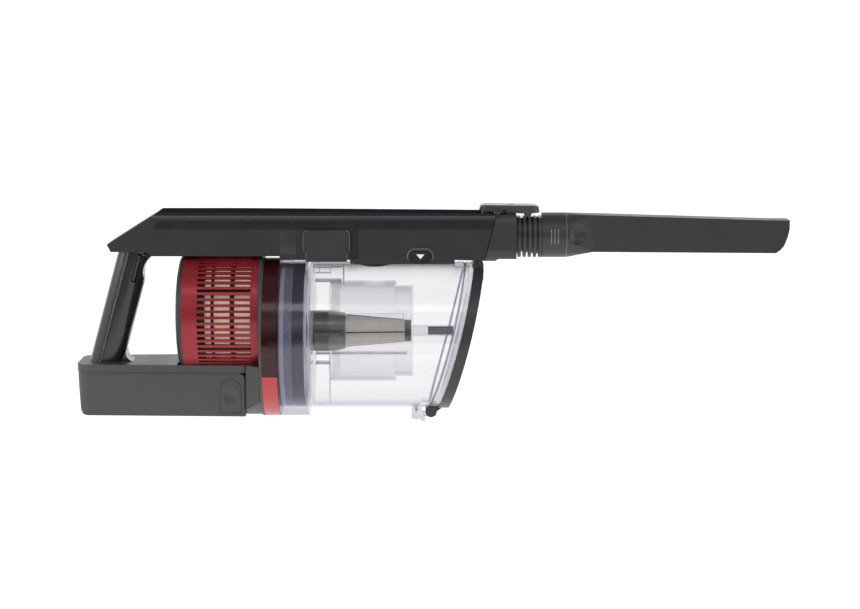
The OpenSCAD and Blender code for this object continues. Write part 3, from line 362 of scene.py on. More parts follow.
def felt(name, tone):
    """Pressed felt: tangled fibres with a faint fuzz"""
    b = Bench(name)
    fibre = b.noise(1400, 8)
    skin = b.node(
        "BsdfPrincipled", Base_Color=b.blend(fibre, rgba(tone, 0.78), rgba(tone, 1.08)),
        Roughness=0.97, Normal=b.bump(fibre, 0.45, 0.0003),
    )
    skin.inputs["Sheen Weight"].default_value = 0.5
    return b.wrap(skin)


def paper(name, tone):
    """Filter paper with short fibres and dust in its folds, and a faint painted glow in its own
    beige
    """
    b = Bench(name)
    fibre = b.noise(1100, 6)
    dust = b.spread(b.noise(60, 4), 0, 0.15)
    sheet = b.blend(fibre, rgba(tone, 0.88), rgba(tone, 1.06))
    skin = b.node(
        "BsdfPrincipled", Base_Color=b.blend(dust, sheet, rgba(tone, 0.6)),
        Roughness=0.9, Normal=b.bump(fibre, 0.3, 0.0002),
    )
    # Painted light: the paper glows faintly in its own colour, though it is no lamp.
    skin.inputs["Emission Color"].default_value = rgba(tone)
    skin.inputs["Emission Strength"].default_value = 0.12
    return b.wrap(skin)


def circuit(name):
    """Green solder mask with copper traces under it"""
    b = Bench(name)
    traces = b.node("TexBrick", Vector=b.place, Scale=120.0)
    traces.inputs["Color1"].default_value = (0.01, 0.1, 0.035, 1)
    traces.inputs["Color2"].default_value = (0.012, 0.14, 0.05, 1)
    traces.inputs["Mortar"].default_value = (0.05, 0.22, 0.07, 1)
    skin = b.node(
        "BsdfPrincipled", Base_Color=traces.outputs["Color"],
        Roughness=b.spread(b.noise(80), 0.25, 0.4),
    )
    return b.wrap(skin)


def wound_copper(name):
    """Varnished copper windings"""
    b = Bench(name)
    turns = b.node(
        "TexWave", {"wave_type": "BANDS", "bands_direction": "X"},
        Vector=b.place, Scale=500.0, Distortion=1.5,
    ).outputs["Fac"]
    skin = b.node(
        "BsdfPrincipled",
        Base_Color=b.blend(turns, (0.25, 0.07, 0.02, 1), (0.75, 0.28, 0.09, 1)),
        Roughness=b.spread(turns, 0.25, 0.45), Normal=b.bump(turns, 0.5, 0.0003),
    )
    skin.inputs["Metallic"].default_value = 0.9
    return b.wrap(skin)


FINISHES = {}
SHELF_DROP = -0.0223  # from the cyclone's axis to the clear shelf below it


def finishes():
    """All finishes, made once from the scene's colours"""
    if FINISHES:
        return FINISHES
    c = bpy.context.scene.vacuum_colours
    edge = bpy.context.scene.vacuum_sizes.edge
    FINISHES.update(
        shell=moulded("shell_matte", c.shell, 0.42, 0.3, edge),
        gloss=moulded("shell_gloss", c.gloss, 0.24, 0.03, edge, coat=0.3, edge_wear_and_highlight=0.2, flat_top=True),
        grip=moulded(
            "grip_satin", [v * 0.6 for v in c.satin], 0.24, 0.12, edge, coat=0.35, edge_wear_and_highlight=0.2
        ),
        satin=moulded("shell_satin", c.satin, 0.36, 0.2, edge),
        base=moulded("base_grey", c.base, 0.42, 0.3, edge),
        tool=moulded("tool_plastic", c.tool, 0.4, 0.25, edge),
        lever=moulded("lever_grey", c.lever, 0.28, 0.12, edge, coat=0.2),
        dark=moulded("dark_plastic", (0.012, 0.012, 0.013), 0.38, 0.2, edge),
        duct=moulded("duct_grey", (0.07, 0.07, 0.078), 0.5, 0.3, edge),
        red=moulded("shroud_red", c.red, 0.34, 0.08, edge, coat=0.15, metal=0.45, edge_wear_and_highlight=0.15),
        band=moulded("band_red", c.band, 0.32, 0.08, edge, coat=0.25, metal=0.2, edge_wear_and_highlight=0.15),
        window=clear_plastic(
            "window_red", (0.3, 0.03, 0.035), c.window, 0.62, 0.95, 0.14, c.window
        ),
        clear=clear_plastic("cup_clear", c.clear, c.rim, 0.01, 0.75, 0.1),
        smoke=clear_plastic(
            "collar_smoke", c.smoke, [v * 0.5 for v in c.rim], 0.03, 0.7, 0.12, (0.3, 0.29, 0.34)
        ),
        door=clear_plastic("door_clear", c.clear, c.rim, 0.02, 0.7),
        latch=clear_plastic("latch_clear", (0.85, 0.85, 0.9), c.rim, 0.08, 0.75),
        inner_clear=clear_plastic("cyclone_clear", (0.965, 0.963, 0.968), c.rim, 0.008, 0.7),
        rib=clear_plastic("rib_clear", (0.8, 0.79, 0.88), c.rim, 0.25, 0.8, 0.1, c.rim),
        navy=moulded("hub_navy", c.navy, 0.16, 0.02, edge, coat=0.5, edge_wear_and_highlight=0.1),
        plum=moulded("plug_plum", c.plum, 0.4, 0.15, edge),
        holder=moulded("holder_plum", [v * 0.3 for v in c.plum], 0.2, 0.05, edge, coat=0.6),
        rubber=rubber("black_rubber", (0.02, 0.02, 0.022)),
        foam=foam("foam_grey", (0.42, 0.4, 0.5)),
        felt=felt("felt_white", (0.8, 0.79, 0.78)),
        paper=paper("pleat_beige", c.paper),
        wire=moulded("mesh_steel", (0.88, 0.84, 0.77), 0.4, 0.02, 0.0001, metal=0.1, edge_wear_and_highlight=0.0),
        seal=clear_plastic(
            "seal_grey", (0.7, 0.69, 0.76), (0.22, 0.21, 0.3), 0.25, 0.9, 0.2, (0.3, 0.29, 0.38)
        ),
        liner=clear_plastic(
            "cone_liner", (0.93, 0.9, 0.86), (0.8, 0.76, 0.7), 0.42, 0.9, 0.5, (0.9, 0.86, 0.8)
        ),
        steel=metal("steel", (0.62, 0.62, 0.64), 0.28),
        spring=metal("spring_steel", (0.68, 0.68, 0.7), 0.2, 900.0),
        can=metal("can_metal", (0.5, 0.5, 0.52), 0.35),
        copper=wound_copper("coil_copper"),
        board=circuit("board_green"),
        cell=moulded("cell_blue", (0.012, 0.11, 0.3), 0.25, 0.03, edge, coat=0.4),
        brass=metal("contact_brass", (0.8, 0.58, 0.22), 0.25),
        # Painted highlight: a lighter grey for the thin beads and ridges, standing in for the
        # highlights along their edges.
        bead=moulded("bead_grey", (0.16, 0.15, 0.14), 0.25, 0.02, edge, coat=0.4, edge_wear_and_highlight=0.1),
        white=moulded("mark_white", (0.85, 0.85, 0.84), 0.3, 0.05, edge, edge_wear_and_highlight=0.0),
        # Painted shade: near-black for the plates that stand in for shaded recesses.
        groove=moulded("groove_black", (0.004, 0.004, 0.004), 0.6, 0.2, edge, edge_wear_and_highlight=0.0),
    )
    return FINISHES


def dress(finish, *nodes):
    """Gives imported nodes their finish"""
    material = finishes()[finish]
    for name in nodes:
        for held in frame["nodes"][name].material_slots:
            held.material = material


# ---- Shapes ----


def build(name, mesh, finish, body, smooth=True):
    """Makes a mesh from a bmesh, gives it its finish and hangs it on its body"""
    bmesh.ops.recalc_face_normals(mesh, faces=mesh.faces)
    data = bpy.data.meshes.new(name)
    mesh.to_mesh(data)
    mesh.free()
    if smooth:
        data.shade_smooth()
        data.set_sharp_from_angle(angle=math.radians(38))
    data.materials.append(finishes()[finish])
    piece = bpy.data.objects.new(name, data)
    bpy.context.scene.collection.objects.link(piece)
    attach(piece, body)
    return piece


def add_loft(mesh, rings, closed_ends=True, closed_path=False):
    """Skins equal rings of points into one surface"""
    made = [[mesh.verts.new(p) for p in ring] for ring in rings]
    count = len(made[0])
    pairs = list(zip(made, made[1:])) + ([(made[-1], made[0])] if closed_path else [])
    for a, b in pairs:
        for i in range(count):
            mesh.faces.new((a[i], a[(i + 1) % count], b[(i + 1) % count], b[i]))
    if closed_ends and not closed_path:
        mesh.faces.new(list(reversed(made[0])))
        mesh.faces.new(made[-1])


def add_wire(mesh, path, radius, sides=8, loop=False):
    """A round wire along a path"""
    rings = []
    for i, point in enumerate(path):
        before = path[i - 1] if i or loop else point
        after = path[(i + 1) % len(path)] if i + 1 < len(path) or loop else point
        along = (Vector(after) - Vector(before)).normalized()
        across = Vector((0, 0, 1)) if abs(along.z) < 0.9 else Vector((0, 1, 0))
        side = along.cross(across).normalized()
        up = side.cross(along).normalized()
        rings.append([
            Vector(point) + radius * (math.cos(a) * side + math.sin(a) * up)
            for a in (2 * math.pi * k / sides for k in range(sides))
        ])
    add_loft(mesh, rings, closed_path=loop)


def add_block(mesh, low, high, edge=0.0003, turn=Matrix()):
    """A block with rounded edges, turned as a whole if need be"""
    centre = (Vector(low) + Vector(high)) / 2
    size = Vector(high) - Vector(low)
    place = turn @ Matrix.Translation(centre) @ Matrix.Diagonal((*size, 1))
    made = bmesh.ops.create_cube(mesh, size=1, matrix=place)
    if edge:
        edges = list({e for v in made["verts"] for e in v.link_edges})
        bmesh.ops.bevel(mesh, geom=edges, offset=edge, segments=2, affect="EDGES", profile=0.6)


def circle_x(x, radius, axis_z, count):
    """Points on a circle round the X direction"""
    step = 2 * math.pi / count
    return [
        Vector((x, radius * math.sin(step * i), axis_z + radius * math.cos(step * i)))
        for i in range(count)
    ]


def both(side, inner, outer):
    """The two Y values between two distances out from the middle plane, lower first"""
    return sorted((side * inner, side * outer))


# ---- Operators ----


class VACUUM_OT_shells(bpy.types.Operator):
    """Finishes the spine, the nozzle, the brackets and the grip, and adds their panel lines, with
    lighter edge lines that paint highlights and black plates that paint the shade of recesses
    """

    bl_idname = "vacuum.shells"
    bl_label = "Spine, nozzle and grip"

    def execute(self, context):
        dress("shell", "spine_body", "motor_end_cap")
        dress("grip", "grip_front", "grip_back", "trigger")
        dress("gloss", "top_cover", "cup_button")
        dress("satin", "nozzle_body", "saddle_brackets")
        dress("base", "base_housing", "motor_frame")
        dress("lever", "tool_lever")
        self.side_panels()
        self.arrow()
        self.bracket_beads()
        self.button_rim_highlight()
        return {"FINISHED"}

    def side_panels(self):
        """Raised side panels ahead of the motor, and a black plate ahead of each bracket that
        paints the shade of a recess
        """
        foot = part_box("spine_body")[0].z
        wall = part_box("top_cover")[1].y
        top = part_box("top_cover")[0].z
        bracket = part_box("saddle_brackets")[1].x
        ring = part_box("ring_band")[1].x
        for side, hand in ((-1, "near"), (1, "far")):
            panel = bmesh.new()
            near, far = both(side, wall - 0.0005, wall + 0.0005)
            add_block(
                panel, (ring + 0.0008, near, foot + 0.009), (ring + 0.0164, far, top - 0.0008),
                0.0004,
            )
            build(f"side_panel_{hand}", panel, "satin", "body")
            # Painted shade: a black plate standing proud of the wall where a recess would lie in
            # shade.
            recess = bmesh.new()
            near, far = both(side, wall - 0.0005, wall + 0.00025)
            add_block(
                recess, (bracket + 0.0002, near, foot + 0.005),
                (bracket + 0.0076, far, top - 0.001), 0.0002,
            )
            build(f"side_recess_shade_{hand}", recess, "groove", "body")

    def bracket_beads(self):
        """Fine raised beads along the brackets' edges, with rounded upper corners, in a lighter
        grey that paints the edges' highlights
        """
        low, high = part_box("saddle_brackets")
        corner = 0.0041
        top, foot = high.z - 0.0045, low.z + 0.0096
        # Painted highlight: light wires traced along the bracket edges.
        mesh = bmesh.new()
        for side in (-1, 1):
            y = side * (high.y - 0.0001)
            for edge_x, turn in ((low.x + 0.0004, 1), (high.x - 0.0004, -1)):
                path = [(edge_x, y, foot + 0.0004), (edge_x, y, (foot + top) / 2), (edge_x, y, top)]
                path += [
                    (edge_x + turn * corner * (1 - math.cos(a)), y, top + corner * math.sin(a))
                    for a in (0.4, 0.8, 1.2, 1.57)
                ]
                add_wire(mesh, path, 0.0003)
                inner = edge_x + turn * 0.0026
                add_wire(mesh, [(inner, y, low.z + 0.0003), (inner, y, foot - 0.0012)], 0.00028)
        build("bracket_beads", mesh, "bead", "body")

    def button_rim_highlight(self):
        """Raised rim over the cup's release button, a lighter wire that paints the rim's highlight
        """
        low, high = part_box("cup_button")
        margin = 0.0021
        z = (low.z + high.z) / 2
        wide, tall = (high.x - low.x) / 2 + margin, (high.z - low.z) / 2 + margin
        x, y = (low.x + high.x) / 2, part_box("spine_body")[0].y + 0.0001
        # Painted highlight: a light wire traced round the button's rim.
        rim = bmesh.new()
        path = []
        for k in range(25):
            a = math.radians(-20 + 220 * k / 24)
            shift = (wide - tall) * (1 if math.cos(a) > 0 else -1)
            path.append((x + shift + tall * math.cos(a), y, z + tall * math.sin(a)))
        add_wire(rim, path, 0.00045)
        build("button_rim_highlight", rim, "bead", "body")

    def arrow(self):
        """White arrow that fills the recess in the cup's release button"""
        low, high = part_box("cup_button")
        x, z = (low.x + high.x) / 2, (low.z + high.z) / 2
        mark = bmesh.new()
        corners = ((-3.9, 2.3), (3.9, 2.3), (0, -2.3))
        rings = [
            [Vector((x + dx * MM, low.y + dy * MM, z + dz * MM)) for dx, dz in corners]
            for dy in (0.6, 0.12)
        ]
        add_loft(mark, rings)
        build("cup_button_arrow", mark, "white", "cup_button", smooth=False)


class VACUUM_OT_motor_unit(bpy.types.Operator):
    """Finishes the vent shroud and the ring, and folds the pleated filter behind the slots"""

    bl_idname = "vacuum.motor_unit"
    bl_label = "Motor unit"

    def execute(self, context):
        dress("red", "vent_shroud")
        dress("band", "ring_band")
        dress("window", "ring_window")
        dress("dark", "filter_frame")
        dress("rubber", "inlet_seal", "motor_mounts")
        dress("duct", "airway_duct")
        self.pleats(context.scene.vacuum_sizes)
        return {"FINISHED"}

    def pleats(self, sizes):
        """One sheet of filter paper folded round the motor, with a plain back"""
        low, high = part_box("filter_media")
        outer = half_height("filter_media") - 0.0002
        inner = outer - sizes.pleat_depth
        fold = bmesh.new()
        count = sizes.pleats * 4
        radii = [outer, outer - 0.0006, inner, outer - 0.0006]
        outline = []
        for i in range(count):
            angle = 2 * math.pi * i / count
            outline.append((radii[i % 4] * math.sin(angle), radii[i % 4] * math.cos(angle)))
        shrink = (inner - 0.0012) / outer
        back = [(y * shrink, z * shrink) for y, z in outline]
        rings = []
        for x, points in ((low.x, back), (low.x, outline), (high.x, outline), (high.x, back)):
            rings.append([Vector((x, y, MOTOR_AXIS + z)) for y, z in points])
        add_loft(fold, rings, closed_path=True)
        piece = build("pleated_filter", fold, "paper", "body", smooth=False)
        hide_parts("filter_media")


class VACUUM_OT_works(bpy.types.Operator):
    """Finishes the motor, the boards, the pins, the springs and the screws"""

    bl_idname = "vacuum.works"
    bl_label = "Inner works"

    def execute(self, context):
        dress("can", "motor_can", "impeller")
        dress("steel", "bearings", "motor_shaft", "screws", "latch_pin")
        dress("dark", "trigger_pin", "lever_pin", "door_pin")
        dress("spring", "trigger_spring")
        dress("copper", "armature")
        dress("board", "control_board", "battery_board")
        dress("dark", "power_switch", "base_terminal", "charge_jack")
        dress("brass", "battery_contacts")
        out, up = (0, -1, 0), (0, 0, 1)
        for node, joint, body, axis, turns, wire, travel in (
            ("cup_button_spring", "cup_release_press", "body", out, 5, 0.0006, 0.003),
            ("lever_spring", "tool_release_press", "body", up, 4, 0.0007, 0.0023),
            ("battery_button_spring", "battery_release_press", "battery", out, 4, 0.0008, 0.0025),
        ):
            self.spring(node, joint, body, axis, turns, wire, travel)
        return {"FINISHED"}

    def spring(self, node, joint, body, axis, turns, wire, travel):
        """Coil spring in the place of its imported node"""
        low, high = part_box(node)
        along = Vector(axis)
        across = Vector((1, 0, 0))
        up = along.cross(across)
        centre = (low + high) / 2
        long = abs((high - low).dot(along))
        radius = (high.x - low.x - wire) / 2
        foot = centre - along * long / 2
        per_turn = 24
        steps = turns * per_turn
        rings = []
        for i in range(steps + 1):
            a = 2 * math.pi * i / per_turn
            out = math.cos(a) * across + math.sin(a) * up
            core = foot + along * (wire / 2 + (long - wire) * i / steps) + out * radius
            rings.append([
                core + wire / 2 * (math.cos(b) * out + math.sin(b) * along)
                for b in (2 * math.pi * k / 10 for k in range(10))
            ])
        mesh = bmesh.new()
        add_loft(mesh, rings)
        piece = build(node.replace("spring", "coil"), mesh, "spring", body)
        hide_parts(node)
        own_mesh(piece)


class VACUUM_OT_battery(bpy.types.Operator):
    """Finishes the battery pack, its cells and its release button"""

    bl_idname = "vacuum.battery"
    bl_label = "Battery pack"

    def execute(self, context):
        dress("base", "battery_case", "battery_lid", "battery_button")
        dress("cell", "battery_cells")
        return {"FINISHED"}


class VACUUM_OT_dust_cup(bpy.types.Operator):
    """Finishes the clear cup, its collar and its filters, and adds the cup's inner ribs"""

    bl_idname = "vacuum.dust_cup"
    bl_label = "Dust cup"

    def execute(self, context):
        dress("clear", "cup_body")
        dress("smoke", "cup_collar")
        dress("holder", "filter_holder")
        dress("foam", "foam_filter")
        dress("felt", "felt_filter")
        self.ribs(context.scene.vacuum_sizes)
        self.tabs()
        return {"FINISHED"}

    def ribs(self, sizes):
        """Clear walls inside the cup: the catch box, a baffle, and a shelf with a box under it"""
        thick = sizes.rib
        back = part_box("cup_body")[0].x + 0.0038
        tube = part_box("cyclone_tube")[0].x
        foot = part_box("cyclone_tube")[0].z - 0.0221
        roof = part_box("cyclone_tube")[1].z
        shelf = CYCLONE_AXIS + SHELF_DROP
        narrow, wide = 0.004, 0.006
        walls = (
            # catch box behind the bracket
            (back, back + 0.0148, roof + 0.0076, roof + 0.008, narrow),
            (back, back + 0.0148, roof + 0.0127, roof + 0.013, narrow),
            (back + 0.0035, back + 0.0039, roof + 0.0076, roof + 0.0171, narrow),
            (back + 0.0145, back + 0.0149, roof + 0.0076, roof + 0.0171, narrow),
            # ceiling of the way out and the baffle ahead of it
            (back, tube + 0.0106, roof - 0.0006, roof - 0.0006 + 1.8 * thick, wide),
            (tube + 0.0014, tube + 0.0106, roof + 0.0131, roof + 0.0139, narrow),
            (tube + 0.0122, tube + 0.0122 + 0.8 * thick, roof + 0.0005, roof + 0.0159, wide),
            # shelf below the hub and the box under it
            (back, tube - 0.0006, shelf, shelf + thick, wide),
            (back, tube - 0.0006, shelf - 0.0094, shelf - 0.0094 + 1.4 * thick, wide),
            (tube - 0.0011, tube - 0.0004, foot, shelf, wide),
        )
        mesh = bmesh.new()
        for x0, x1, z0, z1, half in walls:
            add_block(mesh, (x0, -half, z0), (x1, half, z1), 0.0001)
        build("cup_ribs", mesh, "rib", "dust_cup")

    def tabs(self):
        """Stepped clear tabs on top of the cup, ahead of the brackets"""
        mesh = bmesh.new()
        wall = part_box("top_cover")[1].y
        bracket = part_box("saddle_brackets")[1].x
        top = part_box("cup_body")[1].z
        for side in (-1, 1):
            near, far = both(side, wall + 0.0012, wall + 0.0034)
            for start, end, high in (
                (-0.0021, -0.0001, 0.0016), (-0.0001, 0.0039, 0.0004), (0.0039, 0.0072, -0.0016),
            ):
                low_corner = (bracket + start, near, top - 0.0074)
                add_block(mesh, low_corner, (bracket + end, far, top + high), 0.0003)
        build("cup_tabs", mesh, "clear", "dust_cup")


class VACUUM_OT_cyclone(bpy.types.Operator):
    """Finishes the cyclone tube, turns its hub, and weaves the mesh cone"""

    bl_idname = "vacuum.cyclone"
    bl_label = "Cyclone"

    def execute(self, context):
        dress("inner_clear", "cyclone_tube", "axis_tube")
        dress("dark", "mesh_cap")
        dress("plum", "axis_plug")
        self.weave(context.scene.vacuum_sizes)
        self.cage(context.scene.vacuum_sizes)
        self.hub()
        return {"FINISHED"}

    def hub(self):
        """Dark hub with a softened shoulder, and the clear vanes that hold it in the tube"""
        low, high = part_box("cyclone_hub")
        reach = half_height("cyclone_tube") - 0.0018
        wide = half_height("mesh_cone") + 0.0044
        bore = wide - 0.0074
        profile = (
            (low.x, bore), (low.x, wide - 0.0008), (low.x + 0.0008, wide),
            (low.x + 0.0195, wide), (low.x + 0.021, wide - 0.0005),
            (high.x - 0.0012, wide - 0.0022), (high.x, wide - 0.0032), (high.x, bore),
        )
        shell = bmesh.new()
        add_loft(shell, [circle_x(x, r, CYCLONE_AXIS, 96) for x, r in profile], closed_path=True)
        piece = build("hub_shell", shell, "navy", "dust_cup")
        vanes = bmesh.new()
        axis = Matrix.Translation((0, 0, CYCLONE_AXIS))
        for i in range(6):
            add_block(
                vanes, (low.x + 0.0166, wide + 0.00005, -0.0008),
                (low.x + 0.0246, reach - 0.00005, 0.0008), 0.0003,
                axis @ Matrix.Rotation(math.pi / 3 * i, 4, "X"),
            )
        build("hub_vanes", vanes, "inner_clear", "dust_cup")
        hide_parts("cyclone_hub")

    def cage(self, sizes):
        """Four bars that carry the mesh, the clear shelf below it and a fine frame beside it"""
        low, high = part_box("mesh_cone")
        wide = half_height("mesh_cone")
        tip = half_height("mesh_cap")
        bars = bmesh.new()
        for side in range(4):
            a = math.pi / 2 * side
            path = [
                (x, r * math.sin(a), CYCLONE_AXIS + r * math.cos(a))
                for x, r in ((low.x + 0.0003, wide - 0.0002), (high.x - 0.0003, tip - 0.0002))
            ]
            add_wire(bars, path, 0.0007)
        build("cone_bars", bars, "navy", "dust_cup")
        shelf = bmesh.new()
        half = 0.005
        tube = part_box("cyclone_tube")[0].x
        z = CYCLONE_AXIS + SHELF_DROP
        add_block(
            shelf, (tube + 0.0006, -half, z), (high.x + 0.002, half, z + sizes.rib), 0.0002
        )
        top, foot = high.z + 0.0031, high.z - 0.0022
        for x0, x1, z0 in (
            (low.x + 0.003, high.x - 0.001, top - 0.0004),
            (low.x + 0.003, low.x + 0.0034, foot),
            (high.x - 0.0014, high.x - 0.001, foot),
        ):
            add_block(shelf, (x0, -0.017, z0), (x1, -0.0166, top), 0)
        build("cyclone_shelf", shelf, "rib", "dust_cup")

    def weave(self, sizes):
        """Wires along and round the cone, over a thin hazy liner"""
        low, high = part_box("mesh_cone")
        wide = half_height("mesh_cone")
        tip = half_height("mesh_cap") + 0.0002
        span = high.x - low.x
        mesh = bmesh.new()

        def skin(x):
            return wide + (tip - wide) * (x - low.x) / span - sizes.wire * 1.3

        for i in range(sizes.warp):
            a = 2 * math.pi * i / sizes.warp
            path = [
                (x, skin(x) * math.sin(a), CYCLONE_AXIS + skin(x) * math.cos(a))
                for x in (low.x + span * k / 8 for k in range(9))
            ]
            add_wire(mesh, path, sizes.wire / 2, 4)
        for i in range(sizes.weft):
            x = low.x + span * (i + 0.5) / sizes.weft
            path = circle_x(x, skin(x) + sizes.wire * 0.45, CYCLONE_AXIS, 72)
            add_wire(mesh, path, sizes.wire / 2, 4, loop=True)
        piece = build("woven_cone", mesh, "wire", "dust_cup")
        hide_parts("mesh_cone")
        liner = bmesh.new()
        profile = ((low.x, 0.0), (high.x, 0.0), (high.x, 0.0005), (low.x, 0.0005))
        gap = sizes.wire * 1.5
        rings = [circle_x(x, skin(x) - gap - deep, CYCLONE_AXIS, 96) for x, deep in profile]
        add_loft(liner, rings, closed_path=True)
        build("cone_liner", liner, "liner", "dust_cup")


class VACUUM_OT_door(bpy.types.Operator):
    """Finishes the drop door, its seal and the clear latch"""

    bl_idname = "vacuum.door"
    bl_label = "Door and latch"

    def execute(self, context):
        dress("satin", "door_frame")
        dress("door", "door_pane")
        dress("seal", "door_seal")
        dress("latch", "cup_latch")
        return {"FINISHED"}


class VACUUM_OT_crevice_tool(bpy.types.Operator):
    """Finishes the crevice tool and adds the ridges on its collar and a thin ring round its end, in
    a lighter grey that paints their highlights
    """

    bl_idname = "vacuum.crevice_tool"
    bl_label = "Crevice tool"

    def execute(self, context):
        dress("tool", "crevice_tool")
        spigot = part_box("crevice_tool")[0].x
        radius = half_height("crevice_tool")
        ridges = bmesh.new()
        for side in (-1, 1):
            for x in (57.1, 60.3, 63.5):
                path = []
                for k in range(9):
                    z = (-7 + 14 * k / 8) * MM
                    y = side * (math.sqrt(radius**2 - z**2) - 0.0001)
                    path.append((spigot + x * MM, y, TOOL_AXIS + z))
                add_wire(ridges, path, 0.0006)
        # The ridges take the lighter grey: a painted highlight on real ridges.
        build("collar_ridges", ridges, "bead", "crevice_tool")
        # Painted highlight: a thin light ring round the collar's end, for the light line along its
        # edge.
        bead = bmesh.new()
        path = circle_x(spigot + 0.0715, radius - 0.0001, TOOL_AXIS, 96)
        add_wire(bead, path, 0.00035, loop=True)
        build("collar_bead", bead, "bead", "crevice_tool")
        return {"FINISHED"}


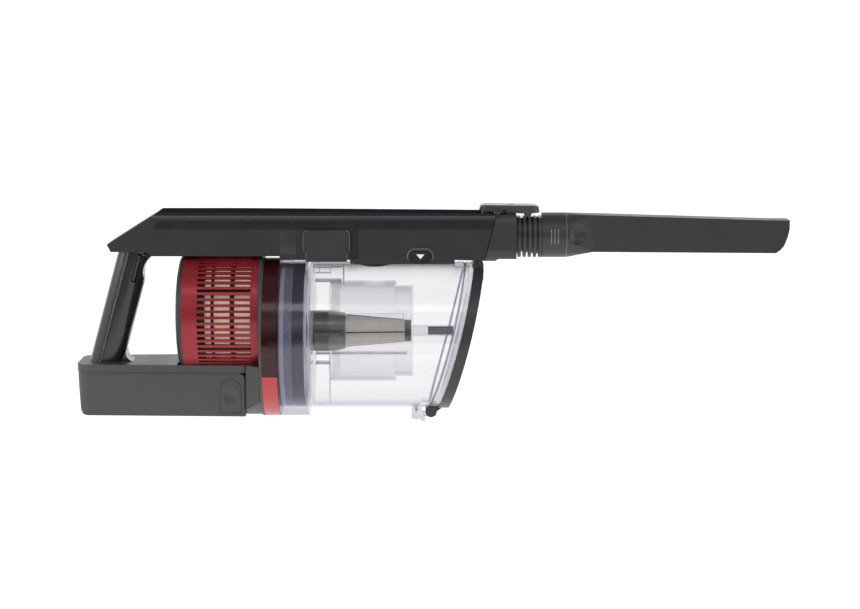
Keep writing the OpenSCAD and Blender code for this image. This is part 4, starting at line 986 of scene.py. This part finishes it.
class VACUUM_OT_stage(bpy.types.Operator):
    """Sets the floor, the soft lights and the camera"""

    bl_idname = "vacuum.stage"
    bl_label = "Floor, lights and camera"

    def execute(self, context):
        stage = context.scene.vacuum_stage
        self.floor()
        self.card()
        self.sky(stage)
        low, high = CAD_BOX
        aim = Vector(((low[0] + high[0]) / 2 - 0.00285, 0, low[2] + 0.1104))
        self.softbox("key_light", aim, (-0.5, -1.7, 1.5), (1.6, 1.6), stage.key, glossy=False)
        self.softbox("strip_light", aim, (-0.2, -1.4, 1.75), (2.2, 0.4), stage.strip)
        self.softbox("grip_light", aim, (-1.5, -1.6, 0.35), (0.14, 1.2), stage.grip)
        self.softbox("left_light", aim, (-1.9, -0.5, 0.9), (1.2, 1.2), stage.sides)
        self.softbox("right_light", aim, (1.9, -0.3, 0.9), (1.2, 1.2), stage.sides)
        data = bpy.data.cameras.new("camera")
        data.lens = stage.lens
        data.sensor_width = 36
        data.clip_end = 50
        camera = bpy.data.objects.new("camera", data)
        context.scene.collection.objects.link(camera)
        e = stage.elevation
        camera.location = aim + stage.distance * Vector((0, -math.cos(e), math.sin(e)))
        camera.rotation_euler = (math.pi / 2 - e, 0, 0)
        context.scene.camera = camera
        context.scene.view_settings.view_transform = "Standard"
        context.scene.cycles.transparent_max_bounces = 48
        context.scene.cycles.max_bounces = 16
        return {"FINISHED"}

    def floor(self):
        """Pale floor, low enough for the dust cup to drop clear of the body"""
        b = Bench("floor_white")
        grey = b.blend(b.noise(3), (0.41, 0.41, 0.41, 1), (0.43, 0.43, 0.43, 1))
        paint = b.node("BsdfDiffuse", Color=grey)
        glow = b.node("Emission", Color=(1, 1, 1, 1), Strength=0.84)
        lit = b.node("AddShader")
        b.join(paint.outputs[0], lit.inputs[0])
        b.join(glow.outputs[0], lit.inputs[1])
        drop = next(j for j in frame["joints"] if j["name"] == "cup_drop")
        top = CAD_BOX[0][2] - max(abs(v) for v in drop["range_m"]) - 0.004
        curve, back = 1.2, 2.6
        profile = [(-4, top), (back, top)]
        for k in range(1, 8):
            a = k / 5
            profile.append((back + curve * math.sin(a), top + curve - curve * math.cos(a)))
        self.sheet("floor", profile + [(3.8, 4.5)], 5, b.wrap(lit)).data.shade_smooth()

    def sheet(self, name, profile, half, material):
        """A sheet of the stage, wide in X, along a profile of Y and Z"""
        mesh = bmesh.new()
        rows = [[mesh.verts.new((x, y, z)) for x in (-half, half)] for y, z in profile]
        for a, c in zip(rows, rows[1:]):
            mesh.faces.new((a[0], a[1], c[1], c[0]))
        data = bpy.data.meshes.new(name)
        mesh.to_mesh(data)
        mesh.free()
        data.materials.append(material)
        made = bpy.data.objects.new(name, data)
        bpy.context.scene.collection.objects.link(made)
        return made

    def card(self):
        """Black card in front of the object, which only its reflections show"""
        b = Bench("card_black")
        along = b.node("SeparateXYZ", Vector=b.place).outputs
        floor_part = b.spread(along["Y"], 0.03, 1.0, -1.05, -0.6)
        upright = b.spread(along["Z"], 0.0, 0.8, 0.35, 1.5)
        strength = b.combine(floor_part, upright, "ADD")
        glow = b.node("Emission", Color=(1, 1, 1, 1), Strength=strength)
        profile = ((-0.6, 0.001), (-2.7, 0.001), (-2.7, 1.6))
        card = self.sheet("card", profile, 3.5, b.wrap(glow))
        card.visible_camera = card.visible_diffuse = False
        card.visible_shadow = card.visible_transmission = False

    def sky(self, stage):
        """Soft surrounding light, paler near the horizon than overhead"""
        world = bpy.data.worlds.new("studio")
        world.use_nodes = True
        bpy.context.scene.world = world
        tree = world.node_tree
        glow = tree.nodes["Background"]
        ramp = tree.nodes.new("ShaderNodeValToRGB")
        place = tree.nodes.new("ShaderNodeTexCoord")
        split = tree.nodes.new("ShaderNodeSeparateXYZ")
        tree.links.new(place.outputs["Generated"], split.inputs[0])
        tree.links.new(split.outputs["Z"], ramp.inputs[0])
        ramp.color_ramp.elements[0].position = 0.05
        ramp.color_ramp.elements[0].color = (1, 1, 1, 1)
        ramp.color_ramp.elements[1].position = 0.8
        ramp.color_ramp.elements[1].color = (0.28, 0.28, 0.29, 1)
        tree.links.new(ramp.outputs[0], glow.inputs[0])
        glow.inputs[1].default_value = stage.sky

    def softbox(self, name, aim, place, size, power, glossy=True):
        """A rectangular soft light turned to its aim, shown in reflections or not"""
        data = bpy.data.lights.new(name, "AREA")
        data.shape = "RECTANGLE"
        data.size, data.size_y = size
        data.energy = power
        lamp = bpy.data.objects.new(name, data)
        bpy.context.scene.collection.objects.link(lamp)
        lamp.location = place
        lamp.rotation_euler = (aim - Vector(place)).to_track_quat("-Z", "Y").to_euler()
        lamp.visible_glossy = glossy


class VACUUM_PT_sidebar(bpy.types.Panel):
    """Vacuum pieces, sizes and colours"""

    bl_label = "Handheld vacuum"
    bl_idname = "VACUUM_PT_sidebar"
    bl_space_type = "VIEW_3D"
    bl_region_type = "UI"
    bl_category = "Vacuum"

    def draw(self, context):
        for operator in OPERATORS:
            self.layout.operator(operator.bl_idname)
        for group in ("vacuum_colours", "vacuum_sizes", "vacuum_stage"):
            held = getattr(context.scene, group)
            box = self.layout.box()
            for key in held.__annotations__:
                box.prop(held, key)


GROUPS = {"vacuum_colours": VacuumColours, "vacuum_sizes": VacuumSizes, "vacuum_stage": VacuumStage}
OPERATORS = (
    VACUUM_OT_shells,
    VACUUM_OT_motor_unit,
    VACUUM_OT_works,
    VACUUM_OT_battery,
    VACUUM_OT_dust_cup,
    VACUUM_OT_cyclone,
    VACUUM_OT_door,
    VACUUM_OT_crevice_tool,
    VACUUM_OT_stage,
)


def register():
    for key, group in GROUPS.items():
        bpy.utils.register_class(group)
        setattr(bpy.types.Scene, key, PointerProperty(type=group))
    for operator in OPERATORS:
        bpy.utils.register_class(operator)
    bpy.utils.register_class(VACUUM_PT_sidebar)


def unregister():
    bpy.utils.unregister_class(VACUUM_PT_sidebar)
    for operator in reversed(OPERATORS):
        bpy.utils.unregister_class(operator)
    for key, group in GROUPS.items():
        delattr(bpy.types.Scene, key)
        bpy.utils.unregister_class(group)


def main():
    register()
    for operator in OPERATORS:
        family, call = operator.bl_idname.split(".")
        getattr(getattr(bpy.ops, family), call)()
    bpy.context.view_layer.update()


if __name__ == "__main__":
    main()
